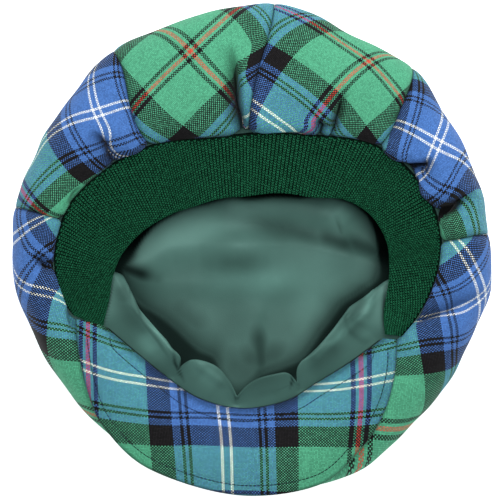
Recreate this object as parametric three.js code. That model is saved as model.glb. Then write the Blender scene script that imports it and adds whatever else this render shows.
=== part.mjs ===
import * as THREE from "three";

// Tartan flat cap with a puffed, panelled crown, lying upside down on its crown, opening upward.
// Millimetres, +Z up, the peak toward -Y. The floor is Z = 0, below the middle of the cap.

const WALL = 1.8; // crown cloth with its backing
const SEAM_GAP = 0.36; // clear space between neighbouring crown panels
const SEAM_DEPTH = 1.5; // how far a seam sinks into the puffed crown
const SEAM_WIDTH = 3.2;
const CENTRE_R = 3.0; // the panels start at this radius round the middle of the crown
const FLAT_INSET = 36; // the crown lies flat on the floor up to this far inside its rim
const SECTION_COLUMNS = 3.5; // strips from one crown section to the next, before the folds add theirs

const LINING_WALL = 1.0;
const LINING_FLOOR = 3.4; // middle of the lining where it lies on the crown
const LIP_RISE = 10; // height of the lining's front flap above its seam
const LIP_ROLL = 2.2; // how far the flap's free edge turns back under itself
const LINING_STEP = 7.5; // degrees between lining stations

const BAND_WALL = 3.4; // double layer of rib knit
const BAND_STATIONS = 44;
const BAND_CLEAR = 0.6; // between the band's outer edge and the crown

const PEAK_WALL = 4.0; // cloth, board and cloth
const PEAK_STATIONS = 28;
const PEAK_SEAM_Z = 44.5; // top of the peak at its middle
const PEAK_ARCH = 8.5; // rise of the peak's corners over its middle
const PEAK_HALF_WIDTH = 90;
const PEAK_ARCH_POWER = 2.2;
const PEAK_TIP_RISE = 2.0; // rise from the seam to the front edge

const table = (columns, rows) =>
  rows.map((row) => Object.fromEntries(columns.map((name, i) => [name, row[i]])));

// Sections of the crown, a seam and a panel middle by turns, counter-clockwise from the right seam.
const CROWN = table(
  ["rimDeg", "bandDeg", "rimR", "bandR", "rimZ", "topZ", "bandZ", "topShare"],
  [
    [3.6, 2.4, 141.4, 110, 27, 53, 46, 0.42],
    [26, 21, 137.6, 105, 28, 57, 46, 0.45],
    [48.4, 39, 141.4, 94.5, 27, 55, 46, 0.38],
    [66.5, 62, 139, 75, 28, 58, 46, 0.36],
    [84.7, 91, 144.7, 67, 27, 56, 46, 0.32],
    [105, 113, 141, 70, 28, 58, 46, 0.36],
    [125, 134.5, 141.6, 84, 27, 55, 46, 0.38],
    [147, 152, 138.4, 97.5, 28, 57, 46, 0.42],
    [170, 171, 140.6, 111.5, 27, 53, 46, 0.42],
    [201, 195, 138.4, 114, 27, 53, 45, 0.45],
    [233, 233, 137.5, 90, 26, 44, 40, 0.55],
    [250, 250, 138, 92, 24, 40, 37.5, 0.5],
    [267, 267, 139.5, 92.5, 23, 39, 37, 0.5],
    [284, 284, 139.5, 91, 24, 40, 37.5, 0.5],
    [301, 301, 141.2, 88.5, 26, 43, 39.5, 0.55],
    [334, 337, 138.2, 104, 27, 53, 45, 0.45],
  ],
);
const SECTIONS = CROWN.length;
// Crown panels with the sections where their two seams lie; the front panel lies under the peak.
const PANELS = table(
  ["name", "from", "to"],
  [
    ["crown_panel_right_back", 0, 2],
    ["crown_panel_back_right", 2, 4],
    ["crown_panel_back_left", 4, 6],
    ["crown_panel_left_back", 6, 8],
    ["crown_panel_left_front", 8, 11],
    ["crown_panel_front", 11, 13],
    ["crown_panel_right_front", 13, 16],
  ],
);

// Creases that run out from the band over the puffed side. at and lean count sections round the
// crown, reach is the share of the way to the rim, lap tells the side that puffs over the crease.
const FOLDS = table(
  ["at", "lean", "reach", "width", "depth", "lap"],
  [
    [0.5, 0.04, 0.8, 4.5, 4.5, 1],
    [1.26, 0.0, 0.5, 4.5, 4, 0],
    [2.77, 0.05, 0.45, 4.5, 4.5, 0],
    [3.0, 0.05, 0.25, 4, 4.5, 1],
    [4.34, 0.0, 0.78, 4.5, 6.5, -1],
    [6.66, 0.02, 0.5, 5, 6, 0],
    [8.5, -0.1, 0.7, 4.5, 4, 0],
    [9.12, 0.03, 0.5, 4.5, 3, 0],
    [15.16, 0.34, 0.95, 12, 3.5, 0],
  ],
);

// Stations of the knitted band from its right end round the back to its left end.
const BAND = table(
  ["outDeg", "inDeg", "inR", "inZ"],
  [
    [-30.4, -32.6, 92.2, 50],
    [-17.2, -24.1, 84.6, 51],
    [-3.3, -7.1, 80.8, 53],
    [6.4, 3.4, 78.5, 54],
    [24.4, 16.1, 71.8, 55],
    [38.7, 27.8, 61.5, 56],
    [60.8, 46.1, 43, 56.5],
    [90, 92.2, 31, 57],
    [117.8, 135.6, 38.5, 56.5],
    [135.3, 156.4, 51.1, 56],
    [153.4, 171.8, 65.6, 55],
    [170.3, 183.1, 76.7, 54],
    [186.4, 191.4, 82.9, 52],
    [194.6, 198.6, 88.3, 50.5],
    [199.6, 205.8, 96.2, 50],
  ],
);

// The peak from its left corner to its right corner, inner seam and outer edge.
const PEAK = table(
  ["seamX", "seamY", "edgeX", "edgeY"],
  [
    [-87.2, -44.5, -103, -40.6],
    [-78.4, -52.1, -101.2, -59.1],
    [-66.7, -62, -95.9, -83.1],
    [-52.1, -73.7, -86, -104.7],
    [-32.2, -86, -59.7, -128.7],
    [-7, -92.1, -8.8, -143.9],
    [19.3, -88.3, 38.6, -138.1],
    [38.6, -78.4, 63.8, -116.4],
    [55, -68.4, 76.6, -96.5],
    [67.3, -59.7, 83.1, -74.3],
    [77.2, -52.1, 84.8, -52.9],
  ],
);

// Free edge of the lining's front flap.
const LIP = table(
  ["deg", "r"],
  [
    [178, 92],
    [191, 82.8],
    [198, 75.5],
    [210, 73],
    [230, 71.5],
    [250, 71],
    [270, 71],
    [285, 71],
    [300, 69],
    [314, 65.8],
    [326, 64.3],
    [334, 69],
    [343, 75],
    [347, 82],
    [358, 92],
  ],
);
const PLEATS = table(
  ["deg", "depth", "drop"],
  [
    [237.8, 7, 4],
    [264, 11, 5],
    [288, 8, 5],
  ],
);
const PLEAT_WIDTH = 2.2; // degrees

// Soft wrinkles across the lining where it lies on the crown.
const WRINKLES = table(
  ["x0", "y0", "x1", "y1", "width", "rise"],
  [
    [-70, -18, 12, -20, 9, 4],
    [-9, 17, 48, 14, 8, 4],
    [48, 14, 56, 1, 7, 3.5],
    [3, -43, 3, -72, 7, 3],
  ],
);

const DEG = Math.PI / 180;
const lerp = (a, b, f) => a + (b - a) * f;
const clamp01 = (v) => Math.min(1, Math.max(0, v));
const smooth = (a, b, v) => {
  const f = clamp01((v - a) / (b - a));
  return f * f * (3 - 2 * f);
};
const bell = (v) => Math.exp(-v * v);
const polar = (r, deg, z) => new THREE.Vector3(r * Math.cos(deg * DEG), r * Math.sin(deg * DEG), z);
const spline = (a, b, c, d, f) =>
  b + 0.5 * f * (c - a + f * (2 * a - 5 * b + 4 * c - d + f * (3 * (b - c) + d - a)));

// Row between the rows of a ring table; columns that end in Deg grow by a full turn each round.
function ringRow(rows, place) {
  const first = Math.floor(place);
  const near = [-1, 0, 1, 2].map((step) => {
    const turn = Math.floor((first + step) / rows.length);
    return [rows[first + step - turn * rows.length], turn];
  });
  const out = {};
  for (const name of Object.keys(rows[0])) {
    const grow = name.endsWith("Deg") ? 360 : 0;
    const v = near.map(([row, turn]) => row[name] + turn * grow);
    out[name] = spline(v[0], v[1], v[2], v[3], place - first);
  }
  return out;
}

// Row between the rows of an open table.
function openRow(rows, place) {
  const last = rows.length - 1;
  const first = Math.min(Math.floor(place), last - 1);
  const at = (i) => rows[Math.min(last, Math.max(0, i))];
  const out = {};
  for (const name of Object.keys(rows[0])) {
    const v = [-1, 0, 1, 2].map((step) => at(first + step)[name]);
    out[name] = spline(v[0], v[1], v[2], v[3], place - first);
  }
  return out;
}

// Value of a column at a sorted key of an open table.
function lookUp(rows, key, name, at) {
  let i = 0;
  while (i < rows.length - 2 && rows[i + 1][key] < at) i += 1;
  const f = clamp01((at - rows[i][key]) / (rows[i + 1][key] - rows[i][key]));
  return openRow(rows, i + f)[name];
}

// Section of the crown: floor, lower round, upper round, roll down to the band.
const T_FLOOR = 0.3;
const T_RIM = 0.5;
const T_TOP = 0.78;
const quarter = (t, from, to) => ((t - from) / (to - from)) * 90 * DEG;

function crownSection(row, t) {
  const flatR = row.rimR - FLAT_INSET;
  const topR = lerp(row.bandR, row.rimR, row.topShare);
  if (t < T_FLOOR) {
    return { r: lerp(CENTRE_R, flatR, t / T_FLOOR), z: 0, nr: 0, nz: -1 };
  }
  let a = quarter(t, T_FLOOR, T_RIM);
  let out;
  if (t < T_RIM) {
    out = { r: flatR + FLAT_INSET * Math.sin(a), z: row.rimZ * (1 - Math.cos(a)) };
    out.nr = Math.sin(a) / FLAT_INSET;
    out.nz = -Math.cos(a) / row.rimZ;
  } else if (t < T_TOP) {
    a = quarter(t, T_RIM, T_TOP);
    const high = row.topZ - row.rimZ;
    out = { r: lerp(topR, row.rimR, Math.cos(a)), z: row.rimZ + high * Math.sin(a) };
    out.nr = Math.cos(a) / (row.rimR - topR);
    out.nz = Math.sin(a) / high;
  } else {
    a = quarter(t, T_TOP, 1);
    const high = row.topZ - row.bandZ;
    out = { r: lerp(topR, row.bandR, Math.sin(a)), z: row.bandZ + high * Math.cos(a) };
    out.nr = -Math.sin(a) / (topR - row.bandR);
    out.nz = Math.cos(a) / high;
  }
  const length = Math.hypot(out.nr, out.nz);
  out.nr /= length;
  out.nz /= length;
  return out;
}

// How far the cloth stands in or out of the plain section at a place.
function crownRelief(place, r, share, degPerSection) {
  const mm = (sections) => sections * degPerSection * DEG * r;
  const flat = share < 0 ? 0.5 : 1;
  const around = (sections) => sections - SECTIONS * Math.round(sections / SECTIONS);
  const seams = PANELS.map(({ from }) => bell(mm(around(place - from)) / SEAM_WIDTH));
  let relief = -SEAM_DEPTH * flat * Math.max(...seams) * smooth(4, 30, r);
  if (share <= 0) return relief;
  for (const fold of FOLDS) {
    const along = clamp01((share - 1 + fold.reach) / fold.reach);
    if (along === 0) continue;
    const side = mm(around(place - fold.at - fold.lean * (1 - along))) / fold.width;
    const fade = smooth(0, 0.6, along);
    relief -= fold.depth * fade * (1 - 0.6 * smooth(0.9, 1, share)) * bell(side);
    const puff = fold.lap === 0 ? 0 : bell((side - 2 * fold.lap) / 1.3);
    relief += 0.3 * fold.depth * fade * (1 - smooth(0.7, 0.92, share)) * puff;
  }
  return relief;
}

function crownPoint(place, t, edge) {
  let row = ringRow(CROWN, place);
  let cut = crownSection(row, t);
  const step = (ringRow(CROWN, place + 0.1).rimDeg - ringRow(CROWN, place - 0.1).rimDeg) / 0.2;
  if (edge !== 0) {
    place += (edge * SEAM_GAP * 0.5) / (cut.r * step * DEG);
    row = ringRow(CROWN, place);
    cut = crownSection(row, t);
  }
  const share = t < T_RIM ? -1 : (row.rimR - cut.r) / (row.rimR - row.bandR);
  const relief = crownRelief(place, cut.r, share, step);
  const deg = lerp(row.rimDeg, row.bandDeg, smooth(0, 1, share));
  return polar(cut.r + relief * cut.nr, deg, cut.z + relief * cut.nz);
}

function crownNormal(place, t) {
  const dt = 0.004;
  const dp = 0.03;
  const across = crownPoint(place + dp, t, 0).sub(crownPoint(place - dp, t, 0));
  const along = crownPoint(place, Math.min(1, t + dt), 0).sub(crownPoint(place, Math.max(0, t - dt), 0));
  return across.cross(along).normalize();
}

// Closed shell between two grids of points; a ring grid closes on itself and ends in a middle point.
function shell(outer, inner, ring) {
  const points = [];
  const faces = [];
  const add = (v) => points.push(v.x, v.y, v.z) / 3 - 1;
  const tops = outer.map((line) => line.map(add));
  const lows = inner.map((line) => line.map(add));
  const quad = (a, b, c, d) => faces.push(a, b, c, a, c, d);
  const lines = outer.length;
  const count = outer[0].length;
  const links = ring ? lines : lines - 1;
  for (let i = 0; i < links; i += 1) {
    const n = (i + 1) % lines;
    for (let j = 0; j + 1 < count; j += 1) {
      quad(tops[i][j], tops[n][j], tops[n][j + 1], tops[i][j + 1]);
      quad(lows[i][j], lows[i][j + 1], lows[n][j + 1], lows[n][j]);
    }
    quad(tops[i][0], lows[i][0], lows[n][0], tops[n][0]);
    if (!ring) quad(tops[i][count - 1], tops[n][count - 1], lows[n][count - 1], lows[i][count - 1]);
  }
  if (ring) {
    const middle = (grid) => {
      const sum = new THREE.Vector3();
      grid.forEach((line) => sum.addScaledVector(line[count - 1], 1 / lines));
      return add(sum);
    };
    const top = middle(outer);
    const low = middle(inner);
    for (let i = 0; i < lines; i += 1) {
      const n = (i + 1) % lines;
      faces.push(tops[i][count - 1], tops[n][count - 1], top);
      faces.push(lows[n][count - 1], lows[i][count - 1], low);
    }
  } else {
    for (let j = 0; j + 1 < count; j += 1) {
      quad(tops[0][j], tops[0][j + 1], lows[0][j + 1], lows[0][j]);
      quad(tops[lines - 1][j], lows[lines - 1][j], lows[lines - 1][j + 1], tops[lines - 1][j + 1]);
    }
  }
  return solid(points, faces);
}

function solid(points, faces) {
  const at = (i) => new THREE.Vector3(points[3 * i], points[3 * i + 1], points[3 * i + 2]);
  let volume = 0;
  for (let i = 0; i < faces.length; i += 3) {
    volume += at(faces[i]).dot(at(faces[i + 1]).cross(at(faces[i + 2])));
  }
  const index = volume > 0 ? faces : faces.slice().reverse();
  const geometry = new THREE.BufferGeometry();
  geometry.setAttribute("position", new THREE.Float32BufferAttribute(points, 3));
  geometry.setIndex(index);
  geometry.computeVertexNormals();
  return geometry;
}

// Strip edges across one panel, with a strip line along each fold and one on each side of it.
function panelColumns({ from, to }) {
  const count = Math.round(SECTION_COLUMNS * (to - from));
  let lines = Array.from({ length: count + 1 }, (_, i) => lerp(from, to, i / count));
  for (const fold of FOLDS) {
    const at = fold.at + fold.lean / 2;
    if (at <= from || at >= to) continue;
    const half = fold.width / 40;
    const kept = lines.filter((v) => v === from || v === to || Math.abs(v - at) > 1.5 * half);
    lines = kept.concat([at - half, at, at + half]);
  }
  return lines.sort((a, b) => a - b);
}

const PANEL_ROWS = [
  0, 0.15, 0.3, 0.34, 0.38, 0.42, 0.46, 0.5, 0.545, 0.59, 0.635, 0.68, 0.73, 0.78, 0.82, 0.86,
  0.9, 0.94, 0.97, 1,
];

function crownPanel(panel) {
  const lines = panelColumns(panel);
  const outer = [];
  const inner = [];
  lines.forEach((place, i) => {
    const edge = i === 0 ? 1 : i === lines.length - 1 ? -1 : 0;
    const face = PANEL_ROWS.map((t) => crownPoint(place, t, edge));
    outer.push(face);
    inner.push(face.map((v, j) => v.clone().addScaledVector(crownNormal(place, PANEL_ROWS[j]), -WALL)));
  });
  return shell(outer, inner, false);
}

// Radius of the crown's inner edge, and its height, at an angle.
function crownEdge(deg) {
  let low = 0;
  let high = SECTIONS;
  const turn = CROWN[0].bandDeg + (((deg - CROWN[0].bandDeg) % 360) + 360) % 360;
  for (let i = 0; i < 40; i += 1) {
    const mid = (low + high) / 2;
    if (ringRow(CROWN, mid).bandDeg < turn) low = mid;
    else high = mid;
  }
  return ringRow(CROWN, low);
}

function knitBand() {
  const profile = [
    [0, 0.5],
    [0.1, 1],
    [0.5, 1],
    [0.92, 1],
    [1, 0.45],
    [1, -0.45],
    [0.92, -1],
    [0.5, -1],
    [0.1, -1],
    [0, -0.5],
  ];
  const points = [];
  const faces = [];
  for (let i = 0; i <= BAND_STATIONS; i += 1) {
    const row = openRow(BAND, (i / BAND_STATIONS) * (BAND.length - 1));
    const edge = crownEdge(row.outDeg);
    const out = polar(edge.bandR - BAND_CLEAR, row.outDeg, edge.bandZ + 2.6);
    const tip = polar(row.inR, row.inDeg, row.inZ);
    for (const [v, side] of profile) {
      const at = out.clone().lerp(tip, v);
      at.z += 1.5 * Math.sin(Math.PI * v) + (side * BAND_WALL) / 2;
      points.push(at.x, at.y, at.z);
    }
  }
  const n = profile.length;
  for (let i = 0; i < BAND_STATIONS; i += 1) {
    for (let j = 0; j < n; j += 1) {
      const k = (j + 1) % n;
      faces.push(i * n + j, i * n + k, (i + 1) * n + k, i * n + j, (i + 1) * n + k, (i + 1) * n + j);
    }
  }
  const last = BAND_STATIONS * n;
  for (let j = 0; j + 1 < n / 2; j += 1) {
    const [a, b, c, d] = [j, j + 1, n - 2 - j, n - 1 - j];
    faces.push(a, c, b, a, d, c);
    faces.push(last + a, last + b, last + c, last + a, last + c, last + d);
  }
  return solid(points, faces);
}

const peakRise = (x, v) =>
  PEAK_SEAM_Z + PEAK_ARCH * (Math.abs(x) / PEAK_HALF_WIDTH) ** PEAK_ARCH_POWER + PEAK_TIP_RISE * v;

function peak() {
  const rows = table(
    ["v", "half"],
    [
      [0, 0.6],
      [0.05, 1],
      [0.28, 1],
      [0.5, 1],
      [0.72, 1],
      [0.9, 1],
      [0.97, 0.8],
      [1, 0.35],
    ],
  );
  const outer = [];
  const inner = [];
  for (let i = 0; i <= PEAK_STATIONS; i += 1) {
    const row = openRow(PEAK, (i / PEAK_STATIONS) * (PEAK.length - 1));
    const lineTop = [];
    const lineLow = [];
    for (const { v, half } of rows) {
      const x = lerp(row.seamX, row.edgeX, v);
      const y = lerp(row.seamY, row.edgeY, v);
      const middle = peakRise(x, v) - PEAK_WALL / 2;
      lineTop.push(new THREE.Vector3(x, y, middle + (half * PEAK_WALL) / 2));
      lineLow.push(new THREE.Vector3(x, y, middle - (half * PEAK_WALL) / 2));
    }
    outer.push(lineTop);
    inner.push(lineLow);
  }
  return shell(outer, inner, false);
}

// Radius of the peak's inner seam at an angle.
function peakSeam(deg) {
  let low = 0;
  let high = PEAK.length - 1;
  const angle = (row) => (Math.atan2(row.seamY, row.seamX) / DEG + 360) % 360;
  for (let i = 0; i < 40; i += 1) {
    const mid = (low + high) / 2;
    if (angle(openRow(PEAK, mid)) < deg) low = mid;
    else high = mid;
  }
  const row = openRow(PEAK, low);
  return Math.hypot(row.seamX, row.seamY);
}

function wrinkle(x, y) {
  let rise = 0;
  for (const w of WRINKLES) {
    const [dx, dy] = [w.x1 - w.x0, w.y1 - w.y0];
    const f = clamp01(((x - w.x0) * dx + (y - w.y0) * dy) / (dx * dx + dy * dy));
    const far = Math.hypot(x - w.x0 - f * dx, y - w.y0 - f * dy);
    rise += w.rise * bell(far / w.width);
  }
  return rise;
}

// Corner points of the lining's section at an angle: seam, front flap, wall, floor.
function liningSection(deg) {
  const edge = crownEdge(deg);
  const crown = { r: edge.bandR, z: edge.bandZ, rim: edge.rimR };
  const behind = smooth(346, 360, deg) + 1 - smooth(176, 192, deg);
  const front = clamp01(1 - behind);
  const open = smooth(203, 209, deg) * (1 - smooth(324, 330, deg));
  const seamR = lerp(crown.r + 1.2, peakSeam(deg) - 1.1, open);
  const seamZ = lerp(crown.z - 1.6, PEAK_SEAM_Z - PEAK_WALL / 2 - 0.5, open);
  const lift = LIP_RISE * smooth(192, 215, deg) * (1 - smooth(325, 345, deg));
  let lipR = lookUp(LIP, "deg", "r", deg);
  let drop = 0;
  for (const pleat of PLEATS) {
    const near = bell((deg - pleat.deg) / PLEAT_WIDTH);
    lipR += pleat.depth * near;
    drop += pleat.drop * near;
  }
  const reach = crown.rim - 20 - crown.r;
  const back = [
    [crown.r + 1.2, crown.z - 1.6],
    [crown.r + 3, crown.z - 3.2],
    [crown.r + 6, crown.z - 5.5],
    [crown.r + 9, crown.z - 8],
    [crown.r + 0.45 * reach, crown.z - 11],
    [crown.r + 0.8 * reach, crown.z - 14],
    [crown.rim - 20, 22],
    [crown.rim - 40, LINING_FLOOR],
    [0, LINING_FLOOR],
  ];
  const lip = [
    [seamR, seamZ],
    [lerp(seamR, lipR, 0.3), seamZ + 0.36 * lift - 0.6 * drop],
    [lerp(seamR, lipR, 0.72), seamZ + 0.8 * lift - drop],
    [lipR, seamZ + lift - drop],
    [lipR + LIP_ROLL, seamZ + lift - 3 - drop],
    [seamR - 3, seamZ - 10],
    [crown.rim - 22, 20],
    [crown.rim - 44, LINING_FLOOR],
    [0, LINING_FLOOR],
  ];
  return back.map(([r, z], i) => [lerp(r, lip[i][0], front), lerp(z, lip[i][1], front)]);
}

function liningPoint(deg, place) {
  const corners = liningSection(((deg % 360) + 360) % 360).map(([r, z]) => ({ r, z }));
  const { r, z } = openRow(corners, place);
  const at = polar(r, deg, Math.max(z, LINING_FLOOR));
  at.z += wrinkle(at.x, at.y) * smooth(6.4, 7.2, place);
  return at;
}

const LINING_ROWS = [0, 0.5, 1, 1.5, 2, 2.5, 3, 3.4, 4, 5, 6, 6.5, 7, 7.25, 7.5, 7.75, 7.95];

function lining() {
  let degs = Array.from({ length: Math.round(360 / LINING_STEP) }, (_, i) => i * LINING_STEP);
  for (const pleat of PLEATS) {
    degs = degs.filter((v) => Math.abs(v - pleat.deg) > 1.6 * PLEAT_WIDTH);
    degs.push(pleat.deg - PLEAT_WIDTH, pleat.deg, pleat.deg + PLEAT_WIDTH);
  }
  degs.sort((a, b) => a - b);
  const outer = [];
  const inner = [];
  for (const deg of degs) {
    const lineOut = [];
    const lineIn = [];
    for (const place of LINING_ROWS) {
      const at = liningPoint(deg, place);
      const across = liningPoint(deg + 1, place).sub(liningPoint(deg - 1, place));
      const ahead = liningPoint(deg, Math.min(8, place + 0.04));
      const along = ahead.sub(liningPoint(deg, Math.max(0, place - 0.04)));
      const normal = across.cross(along).normalize();
      lineOut.push(at.clone().addScaledVector(normal, LINING_WALL / 2));
      lineIn.push(at.clone().addScaledVector(normal, -LINING_WALL / 2));
    }
    outer.push(lineOut);
    inner.push(lineIn);
  }
  return shell(outer, inner, true);
}

const cloth = (name, colour, roughness) => {
  const material = new THREE.MeshStandardMaterial({ color: colour, roughness, metalness: 0 });
  material.name = name;
  return material;
};
const TARTAN = cloth("tartan_cloth", "#3f7f86", 0.9);
const KNIT = cloth("rib_knit", "#11432d", 0.95);
const SATIN = cloth("satin_lining", "#3c645b", 0.5);

const cap = new THREE.Group();
cap.name = "flat_cap";
function place(name, geometry, material) {
  const mesh = new THREE.Mesh(geometry, material);
  mesh.name = name;
  cap.add(mesh);
}
PANELS.forEach((panel) => place(panel.name, crownPanel(panel), TARTAN));
place("peak", peak(), TARTAN);
place("knit_band", knitBand(), KNIT);
place("lining", lining(), SATIN);

export default cap;
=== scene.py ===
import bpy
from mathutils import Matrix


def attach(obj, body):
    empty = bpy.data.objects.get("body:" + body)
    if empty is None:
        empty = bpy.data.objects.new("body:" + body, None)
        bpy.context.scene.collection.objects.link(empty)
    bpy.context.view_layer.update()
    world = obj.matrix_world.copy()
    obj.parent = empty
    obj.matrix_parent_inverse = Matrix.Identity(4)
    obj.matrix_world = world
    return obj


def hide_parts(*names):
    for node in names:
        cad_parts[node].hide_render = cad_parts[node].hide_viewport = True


bl_info = {
    "name": "Tartan Cap",
    "version": (1, 0, 0),
    "blender": (4, 5, 0),
    "location": "3D View > Sidebar > Tartan Cap",
    "description": "Builds a puffed tartan cap lying on its crown: panels, peak, knit band and lining",
    "category": "Add Mesh",
}

import math

import bpy
import numpy as np
from bpy.props import FloatProperty, FloatVectorProperty, IntProperty, PointerProperty
from bpy.types import Operator, Panel, PropertyGroup

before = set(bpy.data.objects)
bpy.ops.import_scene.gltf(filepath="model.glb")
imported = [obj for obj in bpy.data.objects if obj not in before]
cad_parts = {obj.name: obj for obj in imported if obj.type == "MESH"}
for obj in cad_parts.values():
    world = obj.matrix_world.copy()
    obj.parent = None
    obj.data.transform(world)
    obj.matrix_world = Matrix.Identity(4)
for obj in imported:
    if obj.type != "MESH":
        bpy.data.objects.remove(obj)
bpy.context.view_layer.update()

MM = 0.001

# Reading of the photograph: the cap's middle in its frame, and the size of a pixel at the cap.
PHOTO_CENTRE_PX = (252.0, 249.0)
PHOTO_MIDDLE_PX = (250.0, 250.0)
PHOTO_WIDTH_PX = 500.0
MM_PER_PX = 0.585

# Below, sizes are in mm, angles in degrees, and shades run from 0 to 1, which is black. A pair such as
# (0.72, 0.93) is a soft edge: where it starts and where it ends.

# Layer of the cloth's mesh with painted shade where shade gathers in folds, seams and gaps; below 0 it is
# a painted highlight.
SHADE_LAYER = "deep_shade"

# Crown cloth. T_ values are shares of its section, from the middle of the floor to the band.
WALL = 1.8
CENTRE_R = 3.0
FLAT_INSET = 36.0
T_FLOOR = 0.3
T_RIM = 0.5
T_TOP = 0.78
PANEL_STRIPS = 46
# Rows up a panel: floor, lower round, upper round and roll down to the band.
PANEL_ROW_COUNTS = (8, 16, 64, 56)
# Step, in sections, over which the crown's turn is measured.
TURN_STEP = 0.1
# How much of the creases is left in the cloth when it is laid flat for the tartan, and how far past the
# rim the tartan still follows its marks.
CREASE_SLACK = 0.35
TURN_UNDER = 14.0

# Seams between the panels: a soft pinch, a sharp cut and the painted shade along them. Under the rim only
# a share of the pinch is left, and towards the crown's middle it ends.
SEAM_GAP = 0.06
SEAM_DEPTH = 1.5
SEAM_WIDTH = 3.2
SEAM_CUT = 2.0
SEAM_CUT_WIDTH = 1.0
SEAM_SHADE = 0.8
SEAM_SHADE_WIDTH = 0.5
SEAM_UNDER_RIM = 0.2
SEAM_DRAWN = (0.0, 0.18)
SEAM_START_R = (4.0, 30.0)

# Creases, in shares of their own width or depth: they flatten at the band, fade outwards, are steep on
# the side that laps over and slack on the other, and the lap swells beside them. The crease and the gap
# under a lap are darkened with painted shade.
FOLD_SHADE = 0.9
FULL_FOLD = 12.0
FOLD_SHADE_HOLD = 0.35
FOLD_SEAT = (0.9, 1.0)
FOLD_SEAT_LOSS = 0.75
FOLD_FADE = (0.3, 1.0)
FOLD_SHARPNESS = 1.7
LAP_STEEP = 0.6
LAP_SLACK = 1.5
LAP_SHADE_REACH = 0.35
OPEN_SHADE_REACH = 0.8
LAP_SWELL = 0.22
LAP_SWELL_AT = 2.4
LAP_SWELL_WIDTH = 1.6
LAP_SLIP_AT = 0.6
LAP_SLIP_WIDTH = 0.9
GAP_FOLD_SHADE = 0.96
GAP_END_SHARE = 0.4
GAP_EDGE_FROM = 0.55
GAP_EDGE_TO = 1.3
GAP_LAP_REACH = 0.3
GAP_FADE = (0.0, 0.5)
HIDDEN_EDGE = (-1.6, 1.6)
HIDDEN_FADE = (0.6, 1.0)

# Ripples rise and end at shares of the section; puffs at shares of the way from the rim to the band. A
# puff lifts as it hangs, and a crease of PUFF_CREASE mm flattens it.
RIPPLE_RISE = (0.35, 0.5)
RIPPLE_END = (0.93, 1.0)
PUFF_RISE = (0.72, 0.93)
PUFF_END = (0.95, 1.0)
PUFF_CREASE = 4.0
PUFF_LIFT = 0.3

# Lining. Places in it count the corner points of its section, from the seam to the middle of the floor.
LINING_WALL = 1.0
LINING_FLOOR = 3.4
LINING_STATIONS = 400
# Rows of the lining in its front flap, down its wall, and over its floor and the floor's middle.
LINING_ROW_MARKS = (0.0, 4.0, 7.0, 7.7, 7.985)
LINING_ROW_COUNTS = (40, 14, 58, 9)
LINING_DEG_STEP = 0.5
LINING_ROW_STEP = 0.03
# Angles where the flap, its seam on the peak and the rise of its edge start and end.
FLAP_DEG = ((176, 192), (346, 360))
FLAP_SEAM_DEG = ((203, 209), (324, 330))
FLAP_RISE_DEG = ((192, 215), (325, 345))
# Section under the band: out and down from the crown's edge, then shares of the way to the wall and down,
# then in from the rim and up from the floor.
LINING_SEAM = (1.2, 1.6)
LINING_UNDER_BAND = ((3.0, 3.2), (6.0, 5.5), (9.0, 8.0))
LINING_SLOPE = ((0.45, 11.0), (0.8, 14.0))
LINING_FOOT = (20.0, 22.0)
LINING_FLOOR_INSET = 40.0
# Section of the flap: shares of the way from seam to lip, of the lip's rise and of a pleat's drop, then
# the roll over the lip, the tuck under it, and the foot as above.
FLAP_SEAM_GAP = (1.1, 0.5)
FLAP_RUN = ((0.0, 0.0, 0.0), (0.3, 0.36, 0.6), (0.72, 0.8, 1.0), (1.0, 1.0, 1.0))
LIP_RISE = 10.0
LIP_ROLL = (2.2, 3.0)
LIP_TUCK = (3.0, 10.0)
FLAP_FOOT = (22.0, 20.0)
FLAP_FLOOR_INSET = 44.0
# Places in the section where the floor's ridges and the flap's creases show.
RIDGE_ROWS = (6.4, 7.2)
CREASE_ROWS = ((0.3, 1.2), (2.6, 3.0))

# Knitted band. Its profile and the peak's: rows over, points round the free edge, then only every so many
# rows under and points round the seam, which bulges by a share of half the wall.
BAND_WALL = 3.4
BAND_CLEAR = 0.6
BAND_SEAT = 2.6
BAND_CROWN = 1.5
BAND_STATIONS = 240
BAND_PROFILE = (22, 13, 1, 2, 0.6)
RIB_PITCH = 1.6
RIB_END_INSET = 0.02
RIB_FIRST_STITCH = 0.4
# How far past the band's length its ribs roll over the edge, in walls.
RIB_ROLL = 0.9
STITCH_OVERLAP = 1.12
STITCH_NUDGE = 0.15
STITCH_SEED = 7

PEAK_WALL = 4.0
PEAK_STATIONS = 150
PEAK_PROFILE = (48, 15, 2, 3, 0.3)
PEAK_SEAM_Z = 44.5
PEAK_ARCH = 8.5
PEAK_HALF_WIDTH = 90.0
PEAK_ARCH_POWER = 2.2
PEAK_TIP_RISE = 2.0
# Painted shade on the peak: towards its outer edge, on its rolled edge, and beside its inner seam.
PEAK_TIP_SHADE = 0.22
PEAK_TIP_SHADE_FROM = (0.35, 1.0)
PEAK_EDGE_SHADE = 0.4
PEAK_SEAM_SHADE = 0.55
PEAK_SEAM_SHADE_WIDTH = 2.6
# Topstitching: where its rows start and end, as rows of the peak's table, and the dimple along them.
OUTER_STITCH_SPAN = (0.6, 9.6)
OUTER_STITCH_LEAST_SHARE = 0.45
INNER_STITCH_SPAN = (0.8, 9.2)
INNER_STITCH_INSET = 7.0
INNER_STITCH_BEND = ((0.4, 1.4), (8.6, 9.6))
DIMPLE_DEPTH = 0.35
DIMPLE_WIDTH = 1.0
DIMPLE_END = 0.3
STITCH_SINK = 0.2

# Halvings that find a place in a table from an angle, and the least distance that is divided by.
HALVINGS = 40
LEAST_FAR = 1e-9

# Yarns: their colour, how much of its brightness they show, and how far it wanders. The knit's ground
# shows a small share, as painted shade between the ribs.
YARNS = {
    "rib_knit": ("knit", 1.0, 0.55),
    "knit_ground": ("knit", 0.07, 0.35),
    "sewing_thread": ("thread", 1.0, 0.2),
}
BUMP_STRENGTH = 0.5
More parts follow.
